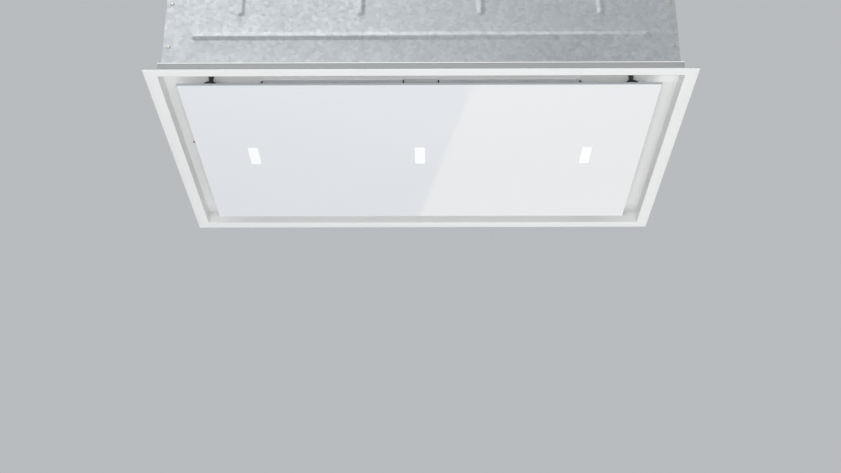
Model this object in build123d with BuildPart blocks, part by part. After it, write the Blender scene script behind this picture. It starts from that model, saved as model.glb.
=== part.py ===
from build123d import *
import os
from math import cos, sin, radians, exp, sqrt

os.makedirs("parts", exist_ok=True)

# ---------------------------------------------------------------------------
# Flush ceiling range hood, seen from below.
# Millimetres. +Z up, X along the long side, -Y towards the side with the catches.
# Origin: centre of the trim frame's visible lower face.
# ---------------------------------------------------------------------------

# trim frame and recess
frame_w, frame_d = 900.0, 600.0      # outer size of the trim frame
inner_w, inner_d = 857.0, 557.0      # opening inside the flange
flange_t = 2.0                       # flange sheet
wall_t = 1.5                         # upright recess wall
recess_h = 24.0                      # lower face of the recess plate
plate_t = 1.2                        # recess plate sheet

# glass panel
glass_w, glass_d, glass_t = 800.0, 500.0, 4.0
glass_x = -3.0                       # the panel hangs 3 mm left of the frame's centre
glass_z = 0.8                        # lower face of the glass
open_deg = 90.0                      # how far the panel swings down

# panel hinges
hinge_x = 330.0
hinge_y, hinge_z = 247.0, 12.0       # hinge axis
pin_r = 2.5
running = 0.05                       # radial clearance of a turning fit

# lights
led_x = 300.0
led_y = -3.5
led_w, led_d = 19.0, 63.0

# catches
catch_x, catch_y = 348.0, -239.5
stud_r = 3.9
foot_w, foot_h = 19.4, 2.5            # foot of the stud, up to its sloped shoulders

# grease filter
filt_w = 534.0
filt_y0, filt_y1 = -228.4, 201.6     # near and far face
filt_z0, filt_z1 = 15.0, 24.0        # lower face, upper face (against the recess plate)
filt_t = 1.0
hole_w = 504.0                       # opening in the recess plate
hole_y0, hole_y1 = -215.0, 188.0
latch_w = 56.0                       # handle width
latch_slot_w = 61.0                  # slot in the near rail
latch_travel = 6.0

# housing
house_w, house_d = 850.0, 550.0
house_z0 = recess_h + plate_t
house_z1 = 265.0
sheet = 1.0

# outlet
duct_r = 74.5                        # outside radius of the collar, for 150 mm duct
duct_t = 1.2
collar_top = 315.0
flap_z = 272.0                       # axis of the check flaps

# blower: double inlet, axis along X
fan_y, fan_z = -57.0, 150.0
fan_r = 75.0
fan_half = 62.0                      # half width of the wheel
scroll_half = 70.0
mouth_y = 62.0                       # half width of the outlet mouth along Y

ex, ey = inner_w / 2, inner_d / 2
glass_z1 = glass_z + glass_t

# ---------------------------------------------------------------------------
# 1. trim frame: flange against the ceiling and upright recess wall, four mitred angle
#    profiles welded at the corners
# ---------------------------------------------------------------------------
with BuildPart() as frame_ring:
    with BuildSketch(Plane.XY):
        Rectangle(frame_w, frame_d)
        Rectangle(inner_w, inner_d, mode=Mode.SUBTRACT)
    extrude(amount=flange_t)
    with BuildSketch(Plane.XY):
        Rectangle(inner_w + 2 * wall_t, inner_d + 2 * wall_t)
        Rectangle(inner_w, inner_d, mode=Mode.SUBTRACT)
    extrude(amount=recess_h)
    fillet(frame_ring.edges().filter_by(Axis.Z).sort_by(SortBy.DISTANCE)[-4:], radius=2.0)
    inner_corners = [e for e in frame_ring.edges().filter_by(Axis.Z)
                     if abs(abs(e.center().X) - ex) < 0.1 and abs(abs(e.center().Y) - ey) < 0.1]
    fillet(inner_corners, radius=2.0)
    low = frame_ring.faces().sort_by(Axis.Z)[0]
    fillet(low.outer_wire().edges(), radius=0.7)
    low = frame_ring.faces().sort_by(Axis.Z)[0]
    fillet(low.inner_wires()[0].edges(), radius=1.2)
ox, oy, miter = frame_w / 2 + 1, frame_d / 2 + 1, 32.0
profiles = []
for corners in ([(-ox, -oy), (ox, -oy), (ox - miter, -oy + miter), (-ox + miter, -oy + miter)],
                [(-ox, oy), (-ox + miter, oy - miter), (ox - miter, oy - miter), (ox, oy)],
                [(-ox, -oy), (-ox + miter, -oy + miter), (-ox + miter, oy - miter), (-ox, oy)],
                [(ox, -oy), (ox, oy), (ox - miter, oy - miter), (ox - miter, -oy + miter)]):
    with BuildPart() as frame_profile:
        add(frame_ring.part)
        with BuildSketch(Plane.XY.offset(-1)):
            with BuildLine():
                Polyline(*corners, close=True)
            make_face()
        extrude(amount=recess_h + 2, mode=Mode.INTERSECT)
    profiles.append(frame_profile.part.solids()[0])
trim_frame = Compound(label="trim_frame", children=profiles)
export_step(trim_frame, "parts/trim_frame.step")

# ---------------------------------------------------------------------------
# 2. recess plate: bottom sheet of the housing, welded onto the recess wall's upper edge
# ---------------------------------------------------------------------------
outer_w = inner_w + 2 * wall_t
outer_d = inner_d + 2 * wall_t
screw_long = [(x, y) for x in (-400, -200, 0, 200, 400) for y in (-264, 264)]
screw_short = [(x, y) for x in (-391, 391) for y in (-150, 150)]
plate_screw_at = screw_long + screw_short
hinge_rivet_y = 250.5
hinge_rivet_at = [(s * hinge_x + dx, hinge_rivet_y) for s in (-1, 1) for dx in (-22, 22)]
indicator_at = (-412.0, -17.5)
with BuildPart() as recess_plate:
    with BuildSketch(Plane.XY.offset(recess_h)):
        Rectangle(outer_w + 2.0, outer_d + 2.0)
        with Locations((0, (hole_y0 + hole_y1) / 2)):
            Rectangle(hole_w, hole_y1 - hole_y0, mode=Mode.SUBTRACT)
    extrude(amount=plate_t)
    fillet(recess_plate.edges().filter_by(Axis.Z).sort_by(SortBy.DISTANCE)[-4:], radius=1.5)
    with Locations(*[(x, y, house_z0) for x, y in plate_screw_at]):
        Hole(2.2, depth=plate_t)
    with Locations(*[(s * catch_x, catch_y, house_z0) for s in (-1, 1)]):
        Hole(5.5, depth=plate_t)
    with Locations((indicator_at[0], indicator_at[1], house_z0)):
        Hole(1.6, depth=plate_t)
    with Locations(*[(x, y, house_z0) for x, y in hinge_rivet_at]):
        Hole(1.6, depth=plate_t)
recess_plate.part.label = "recess_plate"
export_step(recess_plate.part, "parts/recess_plate.step")

# screws that hold the recess plate up against the housing's turned-in edges
with BuildPart() as plate_screws:
    with BuildSketch(Plane.XY.offset(recess_h - 2.4)):
        with Locations(*plate_screw_at):
            Circle(4.0)
    extrude(amount=2.4)
    fillet(plate_screws.faces().filter_by(Axis.Z).group_by(Axis.Z)[0].edges(), radius=1.0)
    with BuildSketch(Plane.XY.offset(recess_h)):
        with Locations(*plate_screw_at):
            Circle(2.1)
    extrude(amount=8.0)
    with BuildSketch(Plane.XY.offset(recess_h - 2.4)):
        with Locations(*plate_screw_at):
            Rectangle(4.2, 0.9)
        with Locations(*plate_screw_at):
            Rectangle(0.9, 4.2)
    extrude(amount=1.3, mode=Mode.SUBTRACT)
plate_screws.part.label = "plate_screws"
export_step(plate_screws.part, "parts/plate_screws.step")

# ---------------------------------------------------------------------------
# 3. housing: top sheet, two long walls with turned-in edges, and two end plates
# ---------------------------------------------------------------------------
hx, hy = house_w / 2, house_d / 2
z_mid = (house_z0 + house_z1) / 2
collar_screw_at = [(86.0 * cos(radians(a)), 86.0 * sin(radians(a))) for a in (60, 120, 240, 300)]
blower_screw_at = [(x, y) for x in (-83, 83) for y in (-55, 55)]
box_x0, box_x1, box_y0, box_y1, box_z0 = 250.0, 400.0, -110.0, 110.0, 204.0
gland_at = (362.0, 80.0)
box_screw_at = [(x, y) for x in (box_x0 + 15, box_x1 - 15) for y in (box_y0 + 15, box_y1 - 15)]
rivet_top_at = [(s * 416.0, y) for s in (-1, 1) for y in (-230, -75, 75, 230)]
rivet_wall_at = [(s * 416.0, z) for s in (-1, 1) for z in (60, 145, 230)]
rivet_long_at = [(x, s * 266.0) for s in (-1, 1) for x in (-330, -110, 110, 330)]
with BuildPart() as housing_top:
    with BuildSketch(Plane.XY.offset(house_z1 - sheet)):
        Rectangle(house_w - 2 * sheet, house_d - 1.6)
    extrude(amount=sheet)
    with Locations((0, 0, house_z1)):
        Hole(73.3, depth=sheet)
    with Locations((gland_at[0], gland_at[1], house_z1)):
        Hole(10.2, depth=sheet)
    with Locations(*[(x, y, house_z1) for x, y in collar_screw_at + blower_screw_at + box_screw_at]):
        Hole(2.1, depth=sheet)
    with Locations(*[(x, y, house_z1) for x, y in rivet_top_at + rivet_long_at]):
        Hole(1.7, depth=sheet)
housing_top.part.label = "housing_top"
export_step(housing_top.part, "parts/housing_top.step")

for side, label in ((-1, "housing_wall_near"), (1, "housing_wall_far")):
    with BuildPart() as housing_wall:
        with BuildSketch(Plane.XZ.offset(-side * hy)):
            with Locations((0, z_mid - sheet / 2)):
                Rectangle(house_w - 2 * sheet, house_z1 - house_z0 - sheet)
        extrude(amount=side * sheet)
        # bottom edge, turned in under the recess plate's screws
        with BuildSketch(Plane.XY.offset(house_z0)):
            with Locations((0, side * (hy - 10.5))):
                Rectangle(house_w - 2 * sheet, 21.0)
        extrude(amount=sheet)
        # top edge, turned in under the top sheet, between the end plates' own edges
        with BuildSketch(Plane.XY.offset(house_z1 - 2 * sheet)):
            with Locations((0, side * (hy - 9.0))):
                Rectangle(2 * 408.0, 18.0)
        extrude(amount=sheet)
        outer_bend = [e for e in housing_wall.edges().filter_by(Axis.X)
                      if abs(abs(e.center().Y) - hy) < 0.01 and (e.center().Z > house_z1 - 1.5 or e.center().Z < house_z0 + 0.1)]
        fillet(outer_bend, radius=0.8)
        with Locations(*[(x, y, house_z0 + sheet) for x, y in screw_long if y * side > 0]):
            Hole(2.2, depth=sheet)
        with Locations(*[(x, y, house_z1 - sheet) for x, y in rivet_long_at if y * side > 0]):
            Hole(1.7, depth=sheet)
        with BuildSketch(Plane.XZ.offset(-side * hy)):
            with Locations(*rivet_wall_at):
                Circle(1.7)
        extrude(amount=side * sheet, mode=Mode.SUBTRACT)
    housing_wall.part.label = label
    export_step(housing_wall.part, f"parts/{label}.step")

bracket_y = 180.0
bracket_screw_z = (232.0, 252.0)
for side, label in ((-1, "end_plate_left"), (1, "end_plate_right")):
    with BuildPart() as end_plate:
        with BuildSketch(Plane.YZ.offset(side * (hx - sheet))):
            with Locations((0, z_mid)):
                Rectangle(house_d, house_z1 - house_z0)
        extrude(amount=side * sheet)
        # turned-in edges under the top and behind the two walls
        with BuildSketch(Plane.YZ.offset(side * (hx - sheet))):
            with Locations((0, (house_z0 + house_z1) / 2)):
                Rectangle(house_d - 2 * sheet, house_z1 - house_z0 - 2 * sheet)
                Rectangle(house_d - 4 * sheet, house_z1 - house_z0 - 4 * sheet, mode=Mode.SUBTRACT)
            with Locations((0, house_z0 + 1.5 * sheet)):
                Rectangle(house_d, sheet, mode=Mode.SUBTRACT)
        extrude(amount=-side * 15.0)
        # wide bottom edge that takes the recess plate's screws
        with BuildSketch(Plane.XY.offset(house_z0)):
            with Locations((side * (hx - sheet - 21.0), 0)):
                Rectangle(42.0, 506.0)
        extrude(amount=sheet)
        with Locations(*[(x, y, house_z0 + sheet) for x, y in screw_short if x * side > 0]):
            Hole(2.2, depth=sheet)
        with Locations(*[(x, y, house_z1 - sheet) for x, y in rivet_top_at if x * side > 0]):
            Hole(1.7, depth=sheet)
        if side < 0:
            with Locations((indicator_at[0], indicator_at[1], house_z0 + sheet)):
                Hole(4.0, depth=sheet)
        for face in (-1, 1):
            with BuildSketch(Plane.XZ.offset(face * (hy - sheet))):
                with Locations(*[(x, z) for x, z in rivet_wall_at if x * side > 0]):
                    Circle(1.7)
            extrude(amount=-face * sheet, mode=Mode.SUBTRACT)
        with BuildSketch(Plane.YZ.offset(side * hx)):
            with Locations(*[(y, z) for y in (-bracket_y, bracket_y) for z in bracket_screw_z]):
                Circle(2.6)
        extrude(amount=-side * sheet, mode=Mode.SUBTRACT)
    end_plate.part.label = label
    export_step(end_plate.part, f"parts/{label}.step")

# dome rivets of the housing seams
with BuildPart() as shell_rivets:
    for z0, h, r in ((house_z1, 1.3, 3.4), (house_z1 - 2 * sheet, 2 * sheet, 1.65),
                     (house_z1 - 2 * sheet - 1.2, 1.2, 2.4)):
        with BuildSketch(Plane.XY.offset(z0)):
            with Locations(*rivet_top_at + rivet_long_at):
                Circle(r)
        extrude(amount=h)
    for face in (-1, 1):
        for d0, h, r in ((0.0, 1.3, 3.4), (-2 * sheet, 2 * sheet, 1.65), (-2 * sheet - 1.2, 1.2, 2.4)):
            with BuildSketch(Plane.XZ.offset(face * (hy + d0))):
                with Locations(*rivet_wall_at):
                    Circle(r)
            extrude(amount=face * h)
    fillet(shell_rivets.edges().filter_by(lambda e: e.geom_type == GeomType.CIRCLE and abs(e.radius - 3.4) < 0.01
                                          and (e.center().Z > house_z1 + 1 or abs(e.center().Y) > hy + 1)),
           radius=1.0)
shell_rivets.part.label = "shell_rivets"
export_step(shell_rivets.part, "parts/shell_rivets.step")

# ---------------------------------------------------------------------------
# 4. outlet collar with two check flaps on one pin
# ---------------------------------------------------------------------------
collar_in = duct_r - duct_t
with BuildPart() as duct_collar:
    with BuildSketch(Plane.XY.offset(house_z1)):
        Circle(94.0)
        Circle(collar_in, mode=Mode.SUBTRACT)
    extrude(amount=1.5)
    with BuildSketch(Plane.XY.offset(house_z1)):
        Circle(duct_r)
        Circle(collar_in, mode=Mode.SUBTRACT)
    extrude(amount=collar_top - house_z1)
    # seat on which the closed flaps rest
    with BuildSketch(Plane.XY.offset(267.5)):
        Circle(collar_in)
        Circle(68.0, mode=Mode.SUBTRACT)
    extrude(amount=1.5)
    chamfer(duct_collar.edges().group_by(Axis.Z)[-1].sort_by(SortBy.RADIUS)[-1], length=0.5)
    with Locations(*[(x, y, house_z1 + 1.5) for x, y in collar_screw_at]):
        Hole(2.1, depth=1.5)
    with BuildSketch(Plane.YZ.offset(-90)):
        with Locations((0, flap_z)):
            Circle(2.0)
    extrude(amount=180, mode=Mode.SUBTRACT)
duct_collar.part.label = "duct_collar"
export_step(duct_collar.part, "parts/duct_collar.step")

with BuildPart() as flap_pin:
    with BuildSketch(Plane.YZ.offset(-(duct_r - 0.2))):
        with Locations((0, flap_z)):
            Circle(2.0)
    extrude(amount=2 * (duct_r - 0.2))
    chamfer(flap_pin.edges().filter_by(GeomType.CIRCLE), length=0.3)
flap_pin.part.label = "flap_pin"
export_step(flap_pin.part, "parts/flap_pin.step")

flap_r = 71.5
knuckle_r = 3.6
knuckles = {"flap_near": ((-1,), [(-50, 18), (0, 18), (50, 18)]),
            "flap_far": ((1,), [(-25, 28), (25, 28)])}
for label, ((side,), spans) in knuckles.items():
    with BuildPart() as flap:
        with BuildSketch(Plane.XY.offset(269.2)):
            Circle(flap_r)
            with Locations((0, -side * (100 - 5.0))):
                Rectangle(300, 200, mode=Mode.SUBTRACT)
        extrude(amount=1.5)
        with BuildSketch(Plane.YZ.offset(-59)):
            with Locations((0, flap_z)):
                Circle(knuckle_r)
            with Locations((side * 3.0, 269.95)):
                Rectangle(6.0, 1.5)
            with Locations((side * 3.5, 270.9)):
                Rectangle(3.0, 2.0)
        extrude(amount=118)
        # cut the knuckle strip away between this flap's own knuckles
        ends = [-60.0] + [v for c, w in spans for v in (c - w / 2, c + w / 2)] + [60.0]
        for a, b in zip(ends[0::2], ends[1::2]):
            if b - a > 0.01:
                with BuildSketch(Plane.XY.offset(264)):
                    with Locations(((a + b) / 2, side * 0.0)):
                        Rectangle(b - a, 9.9)
                extrude(amount=14, mode=Mode.SUBTRACT)
        with BuildSketch(Plane.YZ.offset(-80)):
            with Locations((0, flap_z)):
                Circle(2.0 + running)
        extrude(amount=160, mode=Mode.SUBTRACT)
        # stiffening rib
        with BuildSketch(Plane.XY.offset(270.7)):
            with Locations((0, side * 36.0)):
                Rectangle(1.4, 52.0)
            with Locations((0, side * 34.0)):
                Rectangle(96.0, 1.4)
        extrude(amount=2.2)
    flap.part.label = label
    export_step(flap.part, f"parts/{label}.step")

with BuildPart() as collar_screws:
    with BuildSketch(Plane.XY.offset(house_z1 + 1.5)):
        with Locations(*collar_screw_at):
            Circle(3.8)
    extrude(amount=2.2)
    fillet(collar_screws.faces().filter_by(Axis.Z).group_by(Axis.Z)[-1].edges(), radius=0.9)
    with BuildSketch(Plane.XY.offset(house_z1 - 5.0)):
        with Locations(*collar_screw_at):
            Circle(2.0)
    extrude(amount=6.5)
    with BuildSketch(Plane.XY.offset(house_z1 + 3.7)):
        with Locations(*collar_screw_at):
            Rectangle(4.0, 0.9)
        with Locations(*collar_screw_at):
            Rectangle(0.9, 4.0)
    extrude(amount=-1.2, mode=Mode.SUBTRACT)
collar_screws.part.label = "collar_screws"
export_step(collar_screws.part, "parts/collar_screws.step")

# ---------------------------------------------------------------------------
# 5. blower casing: scroll band between two side plates, mouth up against the housing top
# ---------------------------------------------------------------------------
mouth_top = house_z1 - sheet


def scroll_wire(inset, tip_deg=75.0):
    """Outline of the scroll in the YZ plane: three tangent quarter arcs, the tongue and the outlet."""
    ca, ra = (fan_y - 6, fan_z - 6), 88 - inset
    cb, rb = (fan_y + 6, fan_z - 6), 100 - inset
    cc, rc = (fan_y + 6, fan_z + 7), 113 - inset
    tip = radians(tip_deg)
    p_tip = (ca[0] + ra * cos(tip), ca[1] + ra * sin(tip))
    a_mid = radians(125)
    Line((mouth_y - inset, mouth_top), (mouth_y - inset, cc[1]))
    ThreePointArc((cc[0] + rc, cc[1]), (cc[0] + rc * cos(radians(-45)), cc[1] + rc * sin(radians(-45))),
                  (cc[0], cc[1] - rc))
    ThreePointArc((cb[0], cb[1] - rb), (cb[0] + rb * cos(radians(225)), cb[1] + rb * sin(radians(225))),
                  (cb[0] - rb, cb[1]))
    ThreePointArc((ca[0] - ra, ca[1]), (ca[0] + ra * cos(a_mid), ca[1] + ra * sin(a_mid)), p_tip)
    Line(p_tip, (-mouth_y + 1.18 * inset, mouth_top))
    Line((-mouth_y + 1.18 * inset, mouth_top), (mouth_y - inset, mouth_top))


with BuildPart() as scroll_wrap:
    with BuildSketch(Plane.YZ.offset(-(scroll_half - sheet))):
        with BuildLine():
            scroll_wire(0.0)
        make_face()
        with BuildLine():
            scroll_wire(sheet, 73.3)
        make_face(mode=Mode.SUBTRACT)
    extrude(amount=2 * (scroll_half - sheet))
scroll_wrap.part.label = "scroll_wrap"
export_step(scroll_wrap.part, "parts/scroll_wrap.step")

mount_angles = (150, 270, 30)
mount_at = [(fan_y + 81.0 * cos(radians(a)), fan_z + 81.0 * sin(radians(a))) for a in mount_angles]
for side, label in ((-1, "scroll_side_left"), (1, "scroll_side_right")):
    with BuildPart() as scroll_side:
        with BuildSketch(Plane.YZ.offset(side * (scroll_half - sheet))):
            with BuildLine():
                scroll_wire(0.0)
            make_face()
            with Locations((fan_y, fan_z)):
                Circle(64.0, mode=Mode.SUBTRACT)
            if side < 0:
                with Locations(*mount_at):
                    Circle(2.2, mode=Mode.SUBTRACT)
        extrude(amount=side * sheet)
        # turned-out edge screwed up to the housing top
        with BuildSketch(Plane.XY.offset(mouth_top)):
            with Locations((side * (scroll_half + 11.0), 0)):
                Rectangle(22.0, 2 * mouth_y)
            with Locations(*[(x, y) for x, y in blower_screw_at if x * side > 0]):
                Circle(2.1, mode=Mode.SUBTRACT)
        extrude(amount=-sheet)
    scroll_side.part.label = label
    export_step(scroll_side.part, f"parts/{label}.step")

# bell-mouth rings of the two inlets
for side, label in ((-1, "inlet_ring_left"), (1, "inlet_ring_right")):
    with BuildPart() as inlet_ring:
        with BuildSketch(Plane.XY.offset(fan_z)):
            with BuildLine():
                Polyline((side * 64.0, fan_y + 57.0), (side * 69.0, fan_y + 57.0), (side * 73.5, fan_y + 59.0),
                         (side * 76.0, fan_y + 63.5), (side * 76.0, fan_y + 73.0), (side * 70.0, fan_y + 73.0),
                         (side * 70.0, fan_y + 71.5), (side * 74.5, fan_y + 71.5), (side * 74.5, fan_y + 64.0),
                         (side * 72.4, fan_y + 60.2), (side * 68.6, fan_y + 58.4), (side * 64.0, fan_y + 58.4),
                         close=True)
            make_face()
        revolve(axis=Axis((0, fan_y, fan_z), (1, 0, 0)))
    inlet_ring.part.label = label
    export_step(inlet_ring.part, f"parts/{label}.step")

with BuildPart() as blower_screws:
    with BuildSketch(Plane.XY.offset(house_z1)):
        with Locations(*(blower_screw_at + box_screw_at)):
            Circle(3.8)
    extrude(amount=2.2)
    fillet(blower_screws.faces().filter_by(Axis.Z).group_by(Axis.Z)[-1].edges(), radius=0.9)
    with BuildSketch(Plane.XY.offset(house_z1 - 7.0)):
        with Locations(*(blower_screw_at + box_screw_at)):
            Circle(2.0)
    extrude(amount=7.0)
    with BuildSketch(Plane.XY.offset(house_z1 + 2.2)):
        with Locations(*(blower_screw_at + box_screw_at)):
            Rectangle(4.0, 0.9)
        with Locations(*(blower_screw_at + box_screw_at)):
            Rectangle(0.9, 4.0)
    extrude(amount=-1.2, mode=Mode.SUBTRACT)
blower_screws.part.label = "blower_screws"
export_step(blower_screws.part, "parts/blower_screws.step")

# ---------------------------------------------------------------------------
# 6. wheel, shaft and motor
# ---------------------------------------------------------------------------
blades = 38
fan_plane = Plane.YZ.offset(-fan_half)
with BuildPart() as blower_wheel:
    # forward-curved blades, full width
    with BuildSketch(fan_plane):
        with Locations((fan_y, fan_z)):
            with PolarLocations(68.2, blades):
                SlotCenterToCenter(12.4, 1.1, rotation=28)
    extrude(amount=2 * fan_half)
    # centre disc and hub
    with BuildSketch(Plane.YZ.offset(-0.8)):
        with Locations((fan_y, fan_z)):
            Circle(fan_r)
    extrude(amount=1.6)
    with BuildSketch(Plane.YZ.offset(-10)):
        with Locations((fan_y, fan_z)):
            Circle(13.0)
    extrude(amount=22)
    # end rims
    for x in (-fan_half, fan_half - 2.5):
        with BuildSketch(Plane.YZ.offset(x)):
            with Locations((fan_y, fan_z)):
                Circle(fan_r)
                Circle(fan_r - 3.2, mode=Mode.SUBTRACT)
        extrude(amount=2.5)
    with BuildSketch(Plane.YZ.offset(-20)):
        with Locations((fan_y, fan_z)):
            Circle(4.0)
    extrude(amount=40, mode=Mode.SUBTRACT)
blower_wheel.part.label = "blower_wheel"
export_step(blower_wheel.part, "parts/blower_wheel.step")

with BuildPart() as motor_shaft:
    with BuildSketch(Plane.YZ.offset(-60)):
        with Locations((fan_y, fan_z)):
            Circle(4.0)
    extrude(amount=76)
    chamfer(motor_shaft.edges().filter_by(GeomType.CIRCLE), length=0.5)
motor_shaft.part.label = "motor_shaft"
export_step(motor_shaft.part, "parts/motor_shaft.step")

with BuildPart() as motor_body:
    with BuildSketch(Plane.YZ.offset(-80)):
        with Locations((fan_y, fan_z)):
            Circle(42.0)
    extrude(amount=64)
    fillet(motor_body.edges().filter_by(GeomType.CIRCLE), radius=5.0)
    # cooling ribs
    with BuildSketch(Plane.YZ.offset(-70)):
        with Locations((fan_y, fan_z)):
            with PolarLocations(42.8, 24):
                Rectangle(3.0, 2.0)
    extrude(amount=44)
    # bearing boss
    with BuildSketch(Plane.YZ.offset(-17)):
        with Locations((fan_y, fan_z)):
            Circle(11.0)
    extrude(amount=4.5)
    with BuildSketch(Plane.YZ.offset(-62)):
        with Locations((fan_y, fan_z)):
            Circle(4.0 + running)
    extrude(amount=60, mode=Mode.SUBTRACT)
motor_body.part.label = "motor_body"
export_step(motor_body.part, "parts/motor_body.step")

motor_screw_at = [(fan_y + 24.0 * cos(radians(a)), fan_z + 24.0 * sin(radians(a))) for a in mount_angles]
with BuildPart() as motor_bracket:
    with BuildSketch(Plane.YZ.offset(-82)):
        with Locations((fan_y, fan_z)):
            Circle(34.0)
            for a in mount_angles:
                with PolarLocations(44.0, 1, start_angle=a):
                    SlotCenterToCenter(76.0, 14.0)
            Circle(12.0, mode=Mode.SUBTRACT)
        with Locations(*mount_at):
            Circle(2.2, mode=Mode.SUBTRACT)
        with Locations(*motor_screw_at):
            Circle(2.1, mode=Mode.SUBTRACT)
    extrude(amount=2.0)
motor_bracket.part.label = "motor_bracket"
export_step(motor_bracket.part, "parts/motor_bracket.step")

with BuildPart() as motor_grommets:
    with BuildSketch(Plane.YZ.offset(-80)):
        with Locations(*mount_at):
            Circle(6.0)
        with Locations(*mount_at):
            Circle(2.2, mode=Mode.SUBTRACT)
    extrude(amount=10)
    with BuildSketch(Plane.YZ.offset(-76.5)):
        with Locations(*mount_at):
            Circle(6.1)
        with Locations(*mount_at):
            Circle(4.6, mode=Mode.SUBTRACT)
    extrude(amount=3, mode=Mode.SUBTRACT)
motor_grommets.part.label = "motor_grommets"
export_step(motor_grommets.part, "parts/motor_grommets.step")

with BuildPart() as motor_screws:
    for pts, r, x1 in ((mount_at, 2.1, -66.5), (motor_screw_at, 2.0, -80.0)):
        with BuildSketch(Plane.YZ.offset(-85)):
            with Locations(*pts):
                Circle(3.8)
        extrude(amount=3.0)
        with BuildSketch(Plane.YZ.offset(-82)):
            with Locations(*pts):
                Circle(r)
        extrude(amount=x1 + 82)
    with BuildSketch(Plane.YZ.offset(-85)):
        with Locations(*(mount_at + motor_screw_at)):
            RegularPolygon(1.9, 6)
    extrude(amount=1.6, mode=Mode.SUBTRACT)
motor_screws.part.label = "motor_screws"
export_step(motor_screws.part, "parts/motor_screws.step")

# ---------------------------------------------------------------------------
# 7. electronics, under the housing top at the right-hand end
# ---------------------------------------------------------------------------
bw, bd = box_x1 - box_x0, box_y1 - box_y0
bxc, byc = (box_x0 + box_x1) / 2, (box_y0 + box_y1) / 2
box_t = 1.5
with BuildPart() as electronics_box:
    with BuildSketch(Plane.XY.offset(box_z0)):
        with Locations((bxc, byc)):
            Rectangle(bw, bd)
    extrude(amount=mouth_top - box_z0)
    fillet(electronics_box.edges().filter_by(Axis.Z), radius=3.0)
    with BuildSketch(Plane.XY.offset(box_z0)):
        with Locations((bxc, byc)):
            RectangleRounded(bw - 2 * box_t, bd - 2 * box_t, 2.0)
    extrude(amount=mouth_top - box_z0 - box_t, mode=Mode.SUBTRACT)
    # bosses for the cover's screws
    with BuildSketch(Plane.XY.offset(box_z0)):
        with Locations(*[(bxc + sx * (bw / 2 - 7.5), byc + sy * (bd / 2 - 30)) for sx in (-1, 1) for sy in (-1, 1)]):
            Rectangle(12, 10)
    extrude(amount=12)
    with Locations(*[(x, y, mouth_top) for x, y in box_screw_at]):
        Hole(2.1, depth=box_t)
    with Locations((gland_at[0], gland_at[1], mouth_top)):
        Hole(10.2, depth=box_t)
electronics_box.part.label = "electronics_box"
export_step(electronics_box.part, "parts/electronics_box.step")

with BuildPart() as electronics_cover:
    with BuildSketch(Plane.XY.offset(box_z0 - box_t)):
        with Locations((bxc, byc)):
            RectangleRounded(bw, bd, 3.0)
    extrude(amount=box_t)
    with BuildSketch(Plane.XY.offset(box_z0)):
        with Locations((bxc, byc)):
            RectangleRounded(bw - 2 * box_t - 0.6, bd - 90, 1.5)
            RectangleRounded(bw - 2 * box_t - 3.6, bd - 93, 1.0, mode=Mode.SUBTRACT)
    extrude(amount=3.0)
electronics_cover.part.label = "electronics_cover"
export_step(electronics_cover.part, "parts/electronics_cover.step")

board_z = 252.0
with BuildPart() as control_board:
    with BuildSketch(Plane.XY.offset(board_z)):
        with Locations((bxc - 32, byc - 20)):
            Rectangle(78, 150)
    extrude(amount=1.6)
    # stand-offs above, relays, transformer and connector blocks below
    with BuildSketch(Plane.XY.offset(board_z + 1.6)):
        with Locations(*[(bxc - 32 + sx * 33, byc - 20 + sy * 66) for sx in (-1, 1) for sy in (-1, 1)]):
            Circle(3.0)
    extrude(amount=mouth_top - box_t - board_z - 1.6)
    for x, y, w, d, h in ((-50, -70, 28, 34, 24), (-12, -74, 16, 20, 16), (-12, -50, 16, 20, 16),
                          (-12, -26, 16, 20, 16), (-50, -30, 30, 22, 12), (-45, 25, 44, 10, 11),
                          (-12, 10, 14, 30, 9)):
        with BuildSketch(Plane.XY.offset(board_z)):
            with Locations((bxc + x, byc + y)):
                Rectangle(w, d)
        extrude(amount=-h)
    with BuildSketch(Plane.XY.offset(board_z)):
        with Locations((bxc - 38, byc - 2), (bxc - 55, byc + 4)):
            Circle(5.0)
    extrude(amount=-20)
control_board.part.label = "control_board"
export_step(control_board.part, "parts/control_board.step")

with BuildPart() as terminal_block:
    with BuildSketch(Plane.XY.offset(mouth_top - box_t)):
        with Locations((gland_at[0], 47.0)):
            Rectangle(46, 20)
    extrude(amount=-16)
    with BuildSketch(Plane.XY.offset(mouth_top - box_t - 16)):
        with Locations((gland_at[0], 47.0)):
            with GridLocations(11, 0, 4, 1):
                Circle(3.2)
    extrude(amount=9, mode=Mode.SUBTRACT)
terminal_block.part.label = "terminal_block"
export_step(terminal_block.part, "parts/terminal_block.step")

with BuildPart() as led_driver:
    with BuildSketch(Plane.XY.offset(mouth_top - box_t)):
        with Locations((bxc + 48, byc - 30)):
            RectangleRounded(38, 110, 3)
    extrude(amount=-26)
    fillet(led_driver.faces().sort_by(Axis.Z)[0].edges(), radius=1.5)
led_driver.part.label = "led_driver"
export_step(led_driver.part, "parts/led_driver.step")

with BuildPart() as capacitor:
    with BuildSketch(Plane.YZ.offset(box_x0 + 12)):
        with Locations((88.0, 240.0)):
            Circle(14.0)
    extrude(amount=55)
    fillet(capacitor.edges().filter_by(GeomType.CIRCLE), radius=1.5)
    with BuildSketch(Plane.YZ.offset(box_x0 + 30)):
        with Locations((88.0, 240.0)):
            Circle(15.2)
        with Locations((88.0, 251.25)):
            Rectangle(12.0, 22.5)
    extrude(amount=12)
capacitor.part.label = "capacitor"
export_step(capacitor.part, "parts/capacitor.step")

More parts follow.
